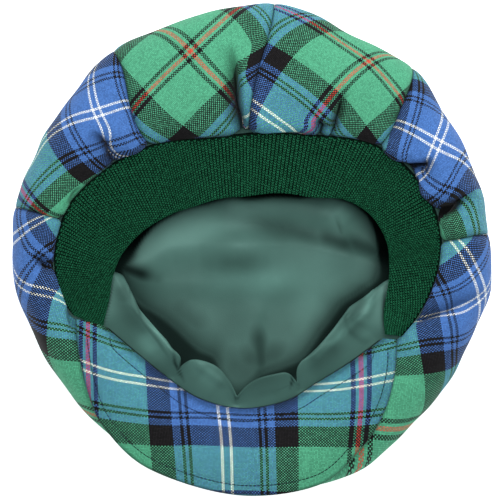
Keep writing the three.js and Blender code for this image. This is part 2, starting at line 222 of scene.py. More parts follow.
# Ends of the noise between which a yarn's and the satin's colour wander, and the satin's own share
# and gloss.
YARN_NOISE_ENDS = (0.3, 0.72)
SATIN_NOISE_ENDS = (0.3, 0.7)
SATIN_SPREAD = 0.1
SATIN_GLOSS = 0.22
# Layout of node trees: steps across and down, and nodes in a row.
NODE_STEPS = (180, -220)
NODES_IN_ROW = 12

# Stage, in metres and watts: its soft lights with their place, size and power, the room's light, the
# floor and the camera.
SOFTBOXES = (
    ("softbox_over", (0.1, 0.38, 2.5), 1.1, 66.0),
    ("softbox_back", (0.6, 1.9, 1.3), 1.0, 24.0),
)
ROOM_COLOUR = (0.84, 0.96, 1.0, 1.0)
ROOM_STRENGTH = 0.31
FLOOR_HALF = 6.0
FLOOR_Z = -0.1 * MM
CAMERA_HEIGHT = 4.0
CAMERA_FOCUS_Z = 40.0 * MM
CAMERA_SENSOR = 36.0
CAMERA_REACH = 50.0


def columns(names, rows):
    """Table as one array for each named column."""
    return {name: np.array(values, dtype=float) for name, values in zip(names, zip(*rows))}


# Sections of the crown, a seam and a panel middle by turns, counter-clockwise from the right seam.
CROWN = columns(
    ("rim_deg", "band_deg", "rim_r", "band_r", "rim_z", "top_z", "band_z", "top_share"),
    (
        (3.6, 2.4, 140.2, 110, 27, 53, 46, 0.42),
        (26, 21, 138, 105, 28, 57, 46, 0.45),
        (48.4, 39, 141.4, 94.5, 27, 55, 46, 0.38),
        (66.5, 62, 139, 75, 28, 58, 46, 0.36),
        (84.7, 91, 144.7, 67, 27, 56, 46, 0.32),
        (105, 113, 141, 70, 28, 58, 46, 0.36),
        (125, 134.5, 141.6, 84, 27, 55, 46, 0.38),
        (147, 152, 138.4, 97.5, 28, 57, 46, 0.42),
        (170, 171, 141.2, 111.5, 27, 53, 46, 0.42),
        (201, 195, 138.4, 114, 27, 53, 45, 0.45),
        (233, 233, 137, 90, 26, 44, 40, 0.55),
        (250, 250, 138, 92, 24, 40, 37.5, 0.5),
        (267, 267, 139.5, 92.5, 23, 39, 37, 0.5),
        (284, 284, 144.2, 91, 24, 40, 37.5, 0.5),
        (301, 301, 143.6, 88.5, 26, 43, 39.5, 0.55),
        (334, 337, 138.8, 104, 27, 53, 45, 0.45),
    ),
)
SECTIONS = len(CROWN["rim_r"])
# Crown panels, the sections where their two seams lie, and the width, length and area, in metres, of
# the gored piece of cloth that each is cut as.
PANELS = (
    ("crown_panel_right_back", 0, 2, (0.115, 0.23), 0.0153),
    ("crown_panel_back_right", 2, 4, (0.115, 0.24), 0.0158),
    ("crown_panel_back_left", 4, 6, (0.115, 0.24), 0.0163),
    ("crown_panel_left_back", 6, 8, (0.115, 0.23), 0.0154),
    ("crown_panel_left_front", 8, 11, (0.2, 0.22), 0.0252),
    ("crown_panel_front", 11, 13, (0.085, 0.22), 0.0112),
    ("crown_panel_right_front", 13, 16, (0.2, 0.22), 0.0262),
)

# Creases of the crown: their run out from the band in pixels of the photograph, then their width and
# depth in mm, the side that laps over (left 1, right -1), and, in mm, how far it laps and the width of
# the painted dark gap under it.
BACK_CREASE = ((245, 139), (241.5, 121), (238.5, 105), (237.3, 89), (235, 67), (231, 42))
FOLDS = (
    (BACK_CREASE, 4.0, 18.0, -1, 1.0, 2.4),
    (((316, 138), (317, 128), (319.5, 116)), 3.0, 13.0, 1, 1.0, 2.6),
    (((328, 134), (332, 122), (337, 110), (340, 99), (343, 87)), 2.8, 10.0, 1, 0.8, 1.8),
    (((398, 163), (410, 167), (420, 166), (433, 157)), 3.6, 16.0, 1, 1.0, 2.8),
    (((429, 210), (438, 208), (450, 203.5), (462, 198), (476, 191)), 3.4, 16.0, 1, 1.0, 6.0),
    (((411, 322), (430, 318), (450, 312), (470, 303), (492, 288)), 5.0, 6.5, -1, 2.0, 0.0),
    (((121, 162), (117, 151), (111, 142), (102, 136), (90, 131)), 3.2, 13.0, -1, 4.0, 0.0),
    (((60, 266), (50, 265), (39, 261), (28, 254)), 3.2, 8.0, 0, 0.0, 0.0),
    (((71, 309), (73, 320), (75, 334)), 2.2, 6.0, 0, 0.0, 0.0),
    (((72, 203), (75, 196), (80, 186)), 2.0, 4.0, 0, 0.0, 0.0),
)
# Cloth that a panel's crease hides: the crease, the side past it (left 1, right -1), and mm.
HIDDEN_CLOTH = {"crown_panel_back_left": (BACK_CREASE, -1, 16.0)}

# Where the crown's outline swells past its plain sections or draws in: middle and half width in
# degrees, and mm.
RIM_SWELLS = columns(
    ("deg", "half", "rise"),
    (
        (8.0, 5.0, -2.2),
        (33.0, 7.0, -1.2),
        (108.0, 7.0, -1.0),
        (147.0, 7.0, 1.1),
        (158.0, 5.0, -1.2),
        (188.0, 8.0, 1.4),
        (213.0, 9.0, -1.0),
        (312.0, 13.0, -1.8),
        (349.0, 7.0, 2.4),
    ),
)
# The seam on the right of the back bows over its neighbour: its section, the half width of the bow in
# sections, the turn in degrees, and the power that draws its widest place out to the rim.
SEAM_BOW = (2.0, 0.5, 2.1, 4)

# Puffs of the crown that hang over the band: middle and half width in sections, reach in mm.
PUFFS = columns(
    ("at", "half", "reach"),
    (
        (3.55, 0.42, 3.4),
        (2.4, 0.3, 1.0),
        (4.9, 0.5, 1.4),
        (1.66, 0.24, 2.6),
        (0.88, 0.24, 3.6),
        (6.3, 0.3, 2.2),
        (7.3, 0.45, 1.4),
        (8.9, 0.4, 1.0),
        (15.6, 0.5, 1.0),
    ),
)

# Slow unevenness of the puffed cloth: waves in plan.
RIPPLES = columns(
    ("length", "deg", "phase", "rise"),
    (
        (61.0, 20, 0.4, 0.45),
        (43.0, 100, 1.9, 0.35),
        (33.0, 155, 4.1, 0.28),
        (24.0, 60, 2.7, 0.2),
    ),
)

# Stations of the knitted band from its right end round the back to its left end.
BAND = columns(
    ("out_deg", "in_deg", "in_r", "in_z"),
    (
        (-30.4, -32.6, 92.2, 50),
        (-17.2, -24.1, 84.6, 51),
        (-3.3, -7.1, 80.8, 53),
        (6.4, 3.4, 78.5, 54),
        (24.4, 16.1, 71.8, 55),
        (38.7, 27.8, 61.5, 56),
        (60.8, 46.1, 43, 56.5),
        (90, 92.2, 31, 57),
        (117.8, 135.6, 38.5, 56.5),
        (135.3, 156.4, 51.1, 56),
        (153.4, 171.8, 65.6, 55),
        (170.3, 183.1, 76.7, 54),
        (186.4, 191.4, 82.9, 52),
        (194.6, 199.8, 88.8, 50.5),
        (200.4, 208, 98.6, 50),
    ),
)
BAND_LAST = len(BAND["in_r"]) - 1

# The peak from its left corner to its right corner, inner seam and outer edge.
PEAK = columns(
    ("seam_x", "seam_y", "edge_x", "edge_y"),
    (
        (-87.2, -44.5, -103, -40.6),
        (-78.4, -52.1, -101.2, -59.1),
        (-66.7, -62, -95.9, -83.1),
        (-52.1, -73.7, -86, -104.7),
        (-32.2, -87.4, -59.7, -128.7),
        (-7, -93.9, -8.8, -143.9),
        (19.3, -89.6, 38.6, -138.1),
        (38.6, -78.4, 63.8, -116.4),
        (55, -68.4, 76.6, -96.5),
        (67.3, -59.7, 83.1, -74.3),
        (77.2, -52.1, 84.8, -52.9),
    ),
)
PEAK_LAST = len(PEAK["seam_x"]) - 1

# Inner edge of the lining's front flap, and the pleats in it.
LIP = columns(
    ("deg", "r"),
    (
        (178, 92),
        (190, 80.5),
        (196, 77.4),
        (205, 75.8),
        (216, 73.6),
        (226, 73.2),
        (232, 74.6),
        (241, 72.6),
        (252, 70.6),
        (264, 72.5),
        (274, 73.5),
        (287, 74),
        (294, 71.6),
        (312, 67.6),
        (328, 67.4),
        (341, 75.6),
        (347, 82),
        (358, 92),
    ),
)
PLEATS = columns(
    ("deg", "width", "depth", "drop"),
    (
        (238.6, 1.6, 9, 6.0),
        (264.2, 5.0, 15, 6.5),
        (288.6, 1.3, 11, 7.0),
    ),
)

# Soft ridges of the lining where it lies on the crown, and creases of its front flap: their run in
# pixels of the photograph, their rise, and how far they slope off to the left and right, in mm.
FLOOR_RIDGES = (
    (((131, 279), (200, 281), (276, 280)), 2.6, 20.0, 10.0),
    (((240, 246), (300, 247), (340, 256), (384, 268)), 4.6, 9.0, 26.0),
    (((232, 200), (280, 203), (338, 209)), 5.0, 12.0, 14.0),
    (((255, 318), (252, 375)), 1.6, 6.0, 18.0),
    (((330, 219), (346, 248)), 1.5, 6.0, 12.0),
    (((205, 330), (160, 300)), 1.2, 16.0, 12.0),
    (((136, 262), (165, 244), (200, 239), (238, 244)), 7.0, 34.0, 13.0),
)
FLAP_CREASES = (
    (((119, 280), (127, 296), (148, 328)), 0.8, 2.6, 4.4),
    (((150, 326), (172, 352)), 0.6, 2.6, 4.0),
    (((345, 312), (352, 330), (365, 340)), 1.2, 3.5, 2.0),
    (((372, 290), (368, 312)), 1.2, 2.0, 3.5),
    (((312, 354), (330, 344)), 0.8, 2.0, 3.0),
    (((200, 366), (222, 382)), 0.8, 2.5, 2.5),
)

# Opening of the hollow seen from above, the width of the painted dark gap under its edge, and how far
# the soft painted shade beyond reaches in, in mm.
HOLLOW = columns(
    ("deg", "edge_r", "gap", "reach"),
    (
        (0, 79, 5.0, 7),
        (16, 71.8, 1.4, 3.5),
        (28, 61.5, 0.6, 2),
        (46, 43, 1.4, 1.5),
        (70, 34, 1.6, 1.5),
        (92, 31, 1.6, 1.5),
        (110, 33, 0.8, 1.5),
        (136, 38.5, 0.5, 1.5),
        (156, 51.1, 1.0, 1.5),
        (172, 65.6, 3.2, 1.5),
        (184, 77.5, 8.0, 2),
        (190, 81.5, 7.5, 6),
        (197, 76.6, 1.0, 14),
        (205, 75.6, 4.0, 14),
        (216, 73.4, 8.5, 14),
        (226, 73.2, 10.5, 14),
        (232, 74.6, 11.5, 14),
        (242, 74, 9.0, 14),
        (252, 70.6, 4.0, 15),
        (264, 86, 1.2, 17),
        (274, 73.5, 1.0, 15),
        (294, 71.6, 2.6, 11),
        (303, 69.6, 5.2, 9),
        (312, 67.6, 6.8, 8),
        (328, 67.4, 7.4, 7),
        (341, 75.6, 7.4, 6),
        (347, 81, 7.0, 7),
        (360, 79, 5.0, 7),
    ),
)
# Painted shade of the lining: under the hollow's edge, in the gap there, in the flap's gap and up the
# wall.
HOLLOW_SHADE = 0.68
GAP_SHADE = 0.985
FLAP_GAP_SHADE = 0.91
WALL_SHADE = 0.55
# Soft edges, in mm, of the gaps and of the cloth that the hollow's edge hides, and the places in the
# lining's section where its wall's painted shade ends.
GAP_EDGE = (-1.0, 2.8)
FLAP_GAP_EDGE = (-5.0, 5.0)
UNDER_EDGE = (-14.0, -6.0)
WALL_ROWS = (4.5, 5.5)
# Strokes of painted shade and light fade at their two ends, down to a share.
STROKE_ENDS = ((0.0, 0.35), (0.65, 1.0))
SHADE_STROKE_END_SHARE = 0.4
GLEAM_END_SHARE = 0.5
# Strokes of painted shade on the lining, in its creases and pleats, beside its flaps and where the band's
# shadow falls: their run in pixels of the photograph, width in mm, and depth of shade.
SHADE_STROKES = (
    (((174, 350), (175, 362), (185, 382)), 1.3, 0.75),
    (((294, 370), (290, 388)), 1.1, 0.85),
    (((235, 402), (239, 390)), 1.2, 0.6),
    (((110, 264), (132, 271), (156, 279)), 5.2, 0.9),
    (((337, 217), (346, 246)), 1.6, 0.4),
    (((255, 318), (260, 350), (264, 384)), 7.0, 0.7),
    (((180, 366), (240, 372), (310, 356)), 18.0, 0.52),
    (((212, 264), (236, 263), (264, 263)), 6.0, 0.25),
    (((228, 216), (290, 229), (346, 245)), 6.6, 0.56),
    (((336, 236), (382, 254), (396, 262)), 6.0, 0.65),
    (((119, 282), (128, 308)), 7.0, 0.45),
    (((248, 394), (288, 384)), 6.0, 0.34),
    (((304, 374), (345, 336)), 8.0, 0.46),
    (((345, 336), (360, 314)), 7.0, 0.5),
    (((132, 293), (150, 318), (174, 350)), 1.0, 0.35),
    (((113.5, 278), (109, 300), (104, 322)), 1.2, 0.75),
    (((385, 286), (383.5, 310), (383.5, 333)), 1.4, 0.8),
    (((129, 283), (130.5, 299)), 0.9, 0.5),
    (((310, 232), (334, 240), (362, 251)), 6.0, 0.7),
    (((156, 300), (190, 322), (216, 334)), 11.0, 0.5),
    (((225, 364), (265, 358), (300, 350)), 12.0, 0.6),
    (((180, 314), (262, 336), (335, 312)), 20.0, 0.3),
    (((112, 292), (130, 316), (154, 336)), 8.0, 0.42),
    (((376, 290), (350, 314), (334, 332)), 5.0, 0.45),
    (((178, 363), (184, 361.5), (189, 359.5)), 1.6, 0.85),
    (((130, 290), (137, 305), (143, 322), (148, 333)), 1.1, 0.5),
    (((124, 282), (132, 308), (159, 341), (174, 364)), 1.5, 0.45),
    (((369, 302), (336, 341)), 2.2, 0.45),
    (((258, 398), (276, 390), (304, 378)), 0.9, 0.35),
    (((252, 392), (268, 380), (290, 372)), 0.9, 0.3),
)
# Painted highlights where the lining's sheen faces the light: run in pixels of the photograph, width in
# mm, and gain.
GLEAMS = (
    (((150, 238), (190, 228), (235, 220)), 15.0, 0.45),
    (((334, 206), (352, 222)), 7.0, 0.7),
    (((200, 284), (260, 284), (330, 278)), 8.0, 0.25),
    (((285, 325), (328, 296)), 10.0, 0.3),
    (((203, 368), (222, 384)), 7.0, 0.9),
    (((140, 330), (158, 354)), 6.0, 0.6),
    (((366, 304), (371, 286)), 2.5, 0.7),
    (((128, 288), (150, 322), (168, 346)), 1.5, 0.4),
    (((382, 290), (357, 319), (318, 355)), 1.7, 0.45),
    (((255, 282), (285, 276)), 9.0, 0.2),
)

# Sett of the tartan, in threads from the white pivot to the red one, as charted.
SETT = (
    ("blue", 2),
    ("white", 2),
    ("blue", 18),
    ("black", 2),
    ("blue", 2),
    ("black", 2),
    ("blue", 5),
    ("black", 15),
    ("green", 33),
    ("black", 3),
    ("green", 2),
    ("red", 1.5),
)
HALF_SETT = sum(count for _, count in SETT)
THREAD_MM = 0.914
# Yarns less bright than this count as black.
DARK_YARN = 0.04
# Height of a yarn up to which only its groove shows, and how far a yarn sinks beside its crossings.
GROOVE_FROM = 0.1
YARN_SINK = 0.6

# Places in the sett that are easy to find on the cloth, in threads from the white pivot.
WHITE = 0
WHITE_LINE = 3
DOUBLE = 25
DARK_IN = 33
DARK = 40.5
DARK_OUT = 48
GREEN = 63
GREEN_LATE = 79
THIN = 82.5
RED = HALF_SETT
DARK_OUT_PAST = 2 * RED - DARK_OUT
DARK_PAST = 2 * RED - DARK

# Where those places are seen on each piece of cloth, as pixels of the photograph read one by one: first
# those across the warp, then those across the weft.
TARTAN_MARKS = {
    "peak": (
        {
            WHITE: ((224, 400), (226, 440), (229, 475)),
            RED: ((361, 360), (361, 400), (362, 450)),
            -RED: ((88.7, 325), (88, 350), (87, 385)),
            -DARK_OUT: ((148.4, 434),),
            -DARK_IN: ((173.8, 434),),
            DARK_IN: ((274.8, 437),),
            DARK_OUT: ((298.4, 437),),
        },
        {
            WHITE: (
                (80, 365), (110, 374.4), (147, 380), (180, 383), (310.5, 387.8), (361, 383), (392, 377),
            ),
            DOUBLE: ((104, 405.8), (200, 414), (296, 416), (351, 415.2), (383, 412.3)),
            -DOUBLE: ((102.5, 339.5),),
            DARK_IN: ((160, 424), (286, 427), (349, 426.8)),
            DARK_OUT: ((160, 445), (286, 447.5), (349, 447.5), (230, 446.5)),
            THIN: ((235, 493),),
        },
    ),
    "crown_panel_back_left": (
        {
            RED: ((135, 109), (190.5, 52), (229, 14), (148.3, 91.7), (230.8, 15.3)),
            DARK: ((184, 138), (257, 57)),
            DARK_OUT: ((182.6, 125.2), (223.3, 86.1)),
        },
        {
            RED: ((190.5, 52), (160, 30), (235, 100), (223.3, 86.1)),
            DARK: ((184, 138),),
            DARK_OUT: ((182.6, 125.2), (148.3, 91.7)),
            DARK_PAST: ((257, 57),),
            DARK_OUT_PAST: ((230.8, 15.3),),
        },
    ),
    "crown_panel_back_right": (
        {
            RED: ((277, 6), (326, 32), (369, 61), (390, 85), (403, 103)),
            DARK: ((278, 59), (367, 140)),
            WHITE: ((253.5, 105), (301.5, 136)),
        },
        {
            RED: ((369, 61), (350, 77), (336, 91), (323, 106), (304, 134)),
            DARK: ((278, 59),),
            DARK_PAST: ((367, 140),),
        },
    ),
    "crown_panel_right_back": (
        {
            WHITE: (
                (395.6, 124.3), (412, 130.4), (435, 144), (450.8, 152.2), (461.2, 158.3),
                (470.4, 164.8),
            ),
            -DOUBLE: ((413, 97), (441.3, 112.6)),
            -DARK_OUT: ((414.5, 80),),
            DOUBLE: (
                (430, 181), (451, 192), (465.8, 200.8), (470.4, 209.2), (473.8, 219.9), (476.8, 233.3),
            ),
            DARK_IN: ((456.2, 205.7), (459.2, 216.5), (466, 236)),
        },
        {
            WHITE: ((435, 144), (446.5, 120), (431.3, 158.5), (417, 179)),
            -DOUBLE: ((420.5, 98), (412.6, 126.6), (403, 155.3)),
            DOUBLE: ((460.7, 163.6), (449, 182), (437.4, 198)),
            DARK_IN: ((466.9, 169), (459.2, 179)),
            DARK_OUT: ((479.2, 188.2), (469.2, 193)),
            GREEN: ((462, 217), (481, 214)),
            GREEN_LATE: ((462, 238), (476, 236), (485, 234)),
        },
    ),
    "crown_panel_left_back": (
        {
            WHITE: ((90.6, 76.6), (98.9, 113.4), (104.6, 129), (108.7, 137.8)),
            -DOUBLE: ((68.2, 104.6), (72.7, 129.5), (84.8, 148.6), (102.7, 169.7)),
            DOUBLE: ((131.4, 121),),
            -DARK_OUT: ((48.5, 143), (61.2, 162)),
            -DARK: ((82, 172),),
            -RED: ((22.3, 190), (39.5, 210.5), (54.8, 225)),
        },
        {
            WHITE: ((98.9, 113.4), (49.5, 134), (72, 120.6), (118, 107), (129.5, 105)),
            -DOUBLE: ((89.3, 84.2), (111, 74.7)),
            DOUBLE: ((126.3, 140.6), (99.5, 146.7), (70.8, 157.6), (46, 176), (32.5, 189.5)),
            DARK: ((82, 172),),
        },
    ),
    "crown_panel_left_front": (
        {
            WHITE: ((14, 237.5), (26, 229), (40.5, 220.7)),
            DOUBLE: ((25, 272), (33.7, 265)),
            DARK_IN: ((33, 287), (28.3, 304)),
            DARK_OUT: ((59, 290), (52.8, 299.4), (50.5, 315), (47.4, 353)),
        },
        {
            WHITE: ((15.3, 278), (30.6, 287.5), (46, 293.3), (62.7, 299.4)),
            -DOUBLE: ((24.5, 239), (42, 261), (52.8, 266)),
            DOUBLE: ((30.6, 317), (47.4, 324), (76.5, 330)),
            DARK_OUT: ((48.2, 356), (78, 361.4)),
            RED: ((90.3, 414), (99.4, 416.5)),
        },
    ),
    "crown_panel_front": (
        {
            WHITE: ((224, 420), (224, 480)),
            DOUBLE: ((263, 430), (263, 480)),
            -DOUBLE: ((185, 432),),
        },
        {
            DOUBLE: ((224, 420),),
            2 * DARK_IN: ((224, 480),),
            DARK_IN: ((300, 430),),
        },
    ),
    "crown_panel_right_front": (
        {
            -WHITE_LINE: ((449.4, 241.6), (462.9, 260.1), (472.8, 279.2), (478.9, 302.8)),
            WHITE_LINE: ((461.6, 242.2), (473.1, 258.2), (479.8, 277.9), (486.5, 290.7)),
            WHITE: ((482.7, 296.4),),
            -DOUBLE: ((440.5, 282), (450, 306), (453, 334.5), (454.4, 363.6)),
            -DARK_IN: ((440.3, 322), (444, 380)),
            -DARK_OUT: ((416, 326), (420.3, 355), (422, 411)),
            -RED: ((361.6, 450), (362, 462)),
        },
        {
            WHITE: ((482.7, 296.4),),
            -DARK_OUT: ((439.8, 262.6), (455.8, 253.1), (467.4, 241)),
            -DARK_IN: ((443.7, 286.2), (461, 276), (477.6, 262), (487.2, 243.5)),
            -DOUBLE: ((450.4, 292.6), (465.5, 283.4), (481, 265), (486.5, 255.5)),
            -WHITE_LINE: ((463.5, 302.8), (476.3, 294.5)),
            WHITE_LINE: ((410.6, 321), (442, 315), (465, 308.5)),
            DOUBLE: ((408, 346.6), (441, 339.4), (472.4, 332.7)),
            DARK_IN: ((398.5, 356.3), (443.3, 349.7)),
            DARK_OUT: ((396, 376.3), (433.6, 373.3), (455.4, 366)),
            RED: ((379, 427.2), (410.6, 426)),
        },
    ),
}
# Fit of the cloth's threads to the marks: spans in mm, how stiff its squares and cubes are, and how far
# it may miss a mark.
FIT_SPAN_MM = 50.0
FIT_STIFFNESS = 0.1
CUBE_STIFFNESS = 0.5
EASE_SPAN_MM = 24.0
EASE_GIVE = 0.3


def lerp(a, b, share):
    """Value a share of the way from a to b."""
    return a + (b - a) * share


def smooth(low, high, value):
    """Soft step, 0 up to low and 1 from high on."""
    share = np.clip((value - low) / (high - low), 0.0, 1.0)
    return share * share * (3.0 - 2.0 * share)


def bell(value):
    """Soft hump, 1 at 0."""
    return np.exp(-value * value)


def between(value, rise, fall):
    """1 between two soft edges and 0 outside them."""
    return smooth(*rise, value) * (1.0 - smooth(*fall, value))


def graded(marks, counts):
    """Even steps from mark to mark, as many as the counts say, and the last mark."""
    parts = [
        np.linspace(low, high, count, endpoint=False)
        for low, high, count in zip(marks[:-1], marks[1:], counts)
    ]
    return np.concatenate(parts + [marks[-1:]])


def polar(r, deg, z):
    """Points from radius, angle and height."""
    angle = np.radians(deg)
    return np.stack(np.broadcast_arrays(r * np.cos(angle), r * np.sin(angle), z), axis=-1)


def spline(a, b, c, d, share):
    """Curve through four even points, a share of the way from b to c."""
    return b + 0.5 * share * (
        c - a + share * (2 * a - 5 * b + 4 * c - d + share * (3 * (b - c) + d - a))
    )


def ring_row(table, place):
    """Row between the rows of a ring table; columns that end in _deg grow by a turn each round."""
    first = np.floor(place).astype(int)
    out = {}
    for name, column in table.items():
        grow = 360.0 if name.endswith("_deg") else 0.0
        near = []
        for step in (-1, 0, 1, 2):
            turn, row = np.divmod(first + step, len(column))
            near.append(column[row] + turn * grow)
        out[name] = spline(*near, place - first)
    return out


def open_row(table, place):
    """Row between the rows of an open table."""
    out = {}
    for name, column in table.items():
        last = len(column) - 1
        first = np.clip(np.floor(place).astype(int), 0, last - 1)
        near = [column[np.clip(first + step, 0, last)] for step in (-1, 0, 1, 2)]
        out[name] = spline(*near, place - first)
    return out


def look_up(table, key, name, at):
    """Value of a column at a sorted key of an open table."""
    keys = table[key]
    first = np.clip(np.searchsorted(keys, at) - 1, 0, len(keys) - 2)
    share = np.clip((at - keys[first]) / (keys[first + 1] - keys[first]), 0.0, 1.0)
    return open_row(table, first + share)[name]


def place_of_angle(angle_at, deg, last):
    """Place in a table, from 0 to its last row, where an angle that grows along it reaches deg."""
    low, high = np.zeros_like(deg), np.full_like(deg, float(last))
    for _ in range(HALVINGS):
        mid = 0.5 * (low + high)
        under = angle_at(mid) < deg
        low, high = np.where(under, mid, low), np.where(under, high, mid)
    return low


def plan_of(px, py):
    """Place in the cap's plan, in mm, of a pixel of the photograph."""
    return np.array(
        [(px - PHOTO_CENTRE_PX[0]) * MM_PER_PX, (PHOTO_CENTRE_PX[1] - py) * MM_PER_PX]
    )


def add_piece(name, mesh):
    """Object of a mesh, riding on the cap's one body."""
    piece = bpy.data.objects.new(name, mesh)
    bpy.context.scene.collection.objects.link(piece)
    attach(piece, "root")
    return piece


def make_piece(name, points, faces, material, threads=None):
    """Mesh object from points in mm, turned the right way out; threads is the cloth's map."""
    triangles = np.concatenate([faces[:, [0, 1, 2]], faces[:, [0, 2, 3]]])
    a, b, c = (points[triangles[:, i]] for i in range(3))
    if float((a * np.cross(b, c)).sum()) < 0:
        faces = faces[:, ::-1]
    corners = [tuple(dict.fromkeys(face)) for face in faces.tolist()]
    mesh = bpy.data.meshes.new(name)
    mesh.from_pydata((points * MM).tolist(), [], corners)
    mesh.polygons.foreach_set("use_smooth", np.ones(len(corners), dtype=bool))
    mesh.materials.append(material)
    mesh.update()
    if threads is not None:
        point = np.empty(len(mesh.loops), dtype=np.int32)
        mesh.loops.foreach_get("vertex_index", point)
        layer = mesh.uv_layers.new(name="cloth")
        layer.data.foreach_set("uv", threads.reshape(-1, 2)[point].reshape(-1).astype(np.float32))
    return add_piece(name, mesh)


def shade_layer(piece, shade):
    """Gives the points their painted shade; below 0 they are painted lighter than the cloth's own colour.
    """
    layer = piece.data.attributes.new(SHADE_LAYER, "FLOAT", "POINT")
    layer.data.foreach_set("value", shade.reshape(-1).astype(np.float32))


def grid_faces(index, closed=False):
    """Quads of a grid of vertex numbers; a closed grid also joins its last line to its first."""
    lines = np.concatenate([index, index[:1]]) if closed else index
    quads = [lines[:-1, :-1], lines[1:, :-1], lines[1:, 1:], lines[:-1, 1:]]
    return np.stack(quads, axis=-1).reshape(-1, 4)


def shell_faces(lines, count):
    """Quads of a closed shell between an outer and an inner grid of the same size."""
    outer = np.arange(lines * count).reshape(lines, count)
    inner = outer + lines * count
    ring = np.concatenate([outer[:, 0], outer[-1, 1:], outer[-2::-1, -1], outer[0, -2:0:-1]])
    wall = np.stack([ring, ring + lines * count], axis=-1)
    return np.concatenate(
        [grid_faces(outer), grid_faces(inner)[:, ::-1], grid_faces(wall, closed=True)]
    )


def tube_faces(stations, count):
    """Faces of a tube of stations with as many points round each, and of the caps at its two ends."""
    index = np.arange(stations * count).reshape(stations, count)
    caps = []
    for line, turn in ((index[0], -1), (index[-1], 1)):
        low, high = 0, count - 1
        while high > low + 2:
            caps.append([line[low], line[low + 1], line[high - 1], line[high]][::turn])
            low, high = low + 1, high - 1
    return np.concatenate([grid_faces(np.concatenate([index, index[:, :1]], axis=1)), np.array(caps)])


def rolled_profile(rows, edge_points, under_step, seam_step, seam_bulge):
    """Profile of a flat piece with a rolled free edge: the share of the way across it, the bulge past its
    ends, and the side, from 1 on top to -1 underneath."""
    share = np.linspace(0.0, 1.0, rows)
    roll = np.linspace(0.0, math.pi, edge_points)[1:-1]
    profile = [(s, 0.0, 1.0) for s in share]
    profile += [(1.0, math.sin(a), math.cos(a)) for a in roll]
    profile += [(s, 0.0, -1.0) for s in share[::-under_step]]
    profile += [(0.0, -seam_bulge * math.sin(a), -math.cos(a)) for a in roll[::seam_step]]
    return profile


def crown_section(row, t):
    """Radius, height and outward normal of the plain crown section."""
    rim_r, rim_z, band_r = row["rim_r"], row["rim_z"], row["band_r"]
    flat_r = rim_r - FLAT_INSET
    top_r = lerp(band_r, rim_r, row["top_share"])
    rise = row["top_z"] - rim_z
    fall = row["top_z"] - row["band_z"]
    low, up, roll = (
        0.5 * math.pi * (t - start) / (end - start)
        for start, end in ((T_FLOOR, T_RIM), (T_RIM, T_TOP), (T_TOP, 1.0))
    )
    zones = [t < T_FLOOR, t < T_RIM, t < T_TOP]

    def pick(floor, lower, upper, end):
        return np.select(zones, [floor, lower, upper], end)

    r = pick(
        lerp(CENTRE_R, flat_r, t / T_FLOOR),
        flat_r + FLAT_INSET * np.sin(low),
        lerp(top_r, rim_r, np.cos(up)),
        lerp(top_r, band_r, np.sin(roll)),
    )
    z = pick(
        0.0,
        rim_z * (1.0 - np.cos(low)),
        rim_z + rise * np.sin(up),
        row["band_z"] + fall * np.cos(roll),
    )
    nr = pick(
        0.0,
        np.sin(low) / FLAT_INSET,
        np.cos(up) / (rim_r - top_r),
        -np.sin(roll) / (top_r - band_r),
    )
    nz = pick(-1.0, -np.cos(low) / rim_z, np.sin(up) / rise, np.cos(roll) / fall)
    length = np.hypot(nr, nz)
    return r, z, nr / length, nz / length


def around(sections):
    """Shortest way round the crown, in sections."""
    return sections - SECTIONS * np.round(sections / SECTIONS)


def seam_pinch(place, r, share, mm_per_section):
    """How deep the seams between the panels draw the cloth in, and the painted shade in them."""
    seams = np.array([panel[1] for panel in PANELS])
    nearest = np.min(np.abs(around(place[..., None] - seams)), axis=-1) * mm_per_section
    pinch = SEAM_DEPTH * bell(nearest / SEAM_WIDTH)
    pinch = pinch + SEAM_CUT * np.exp(-nearest / SEAM_CUT_WIDTH)
    shade = SEAM_SHADE * np.exp(-nearest / SEAM_SHADE_WIDTH)
    taut = lerp(SEAM_UNDER_RIM, 1.0, smooth(*SEAM_DRAWN, share))
    return taut * pinch * smooth(*SEAM_START_R, r), shade


def beside_path(plan, pixels):
    """Distance from a path of pixels in mm, how far it is to the left (1) or the right (-1) of it, the
    share of the path passed, and the way to its left."""
    path = np.array([plan_of(*pixel) for pixel in pixels])
    steps = np.diff(path, axis=0)
    lengths = np.linalg.norm(steps, axis=1)
    passed = np.concatenate([[0.0], np.cumsum(lengths)])
    least = np.full(plan.shape[:-1], np.inf)
    lean, share = np.zeros_like(least), np.zeros_like(least)
    left = np.zeros_like(plan)
    for start, step, length, before in zip(path[:-1], steps, lengths, passed):
        way = plan - start
        along = np.clip(way @ step / length**2, 0.0, 1.0)
        far = np.linalg.norm(way - along[..., None] * step, axis=-1)
        across = (step[0] * way[..., 1] - step[1] * way[..., 0]) / length
        nearer = far < least
        least = np.where(nearer, far, least)
        lean = np.where(nearer, across / np.maximum(far, LEAST_FAR), lean)
        share = np.where(nearer, (before + along * length) / passed[-1], share)
        left[nearer] = np.array([-step[1], step[0]]) / length
    return least, lean, share, left


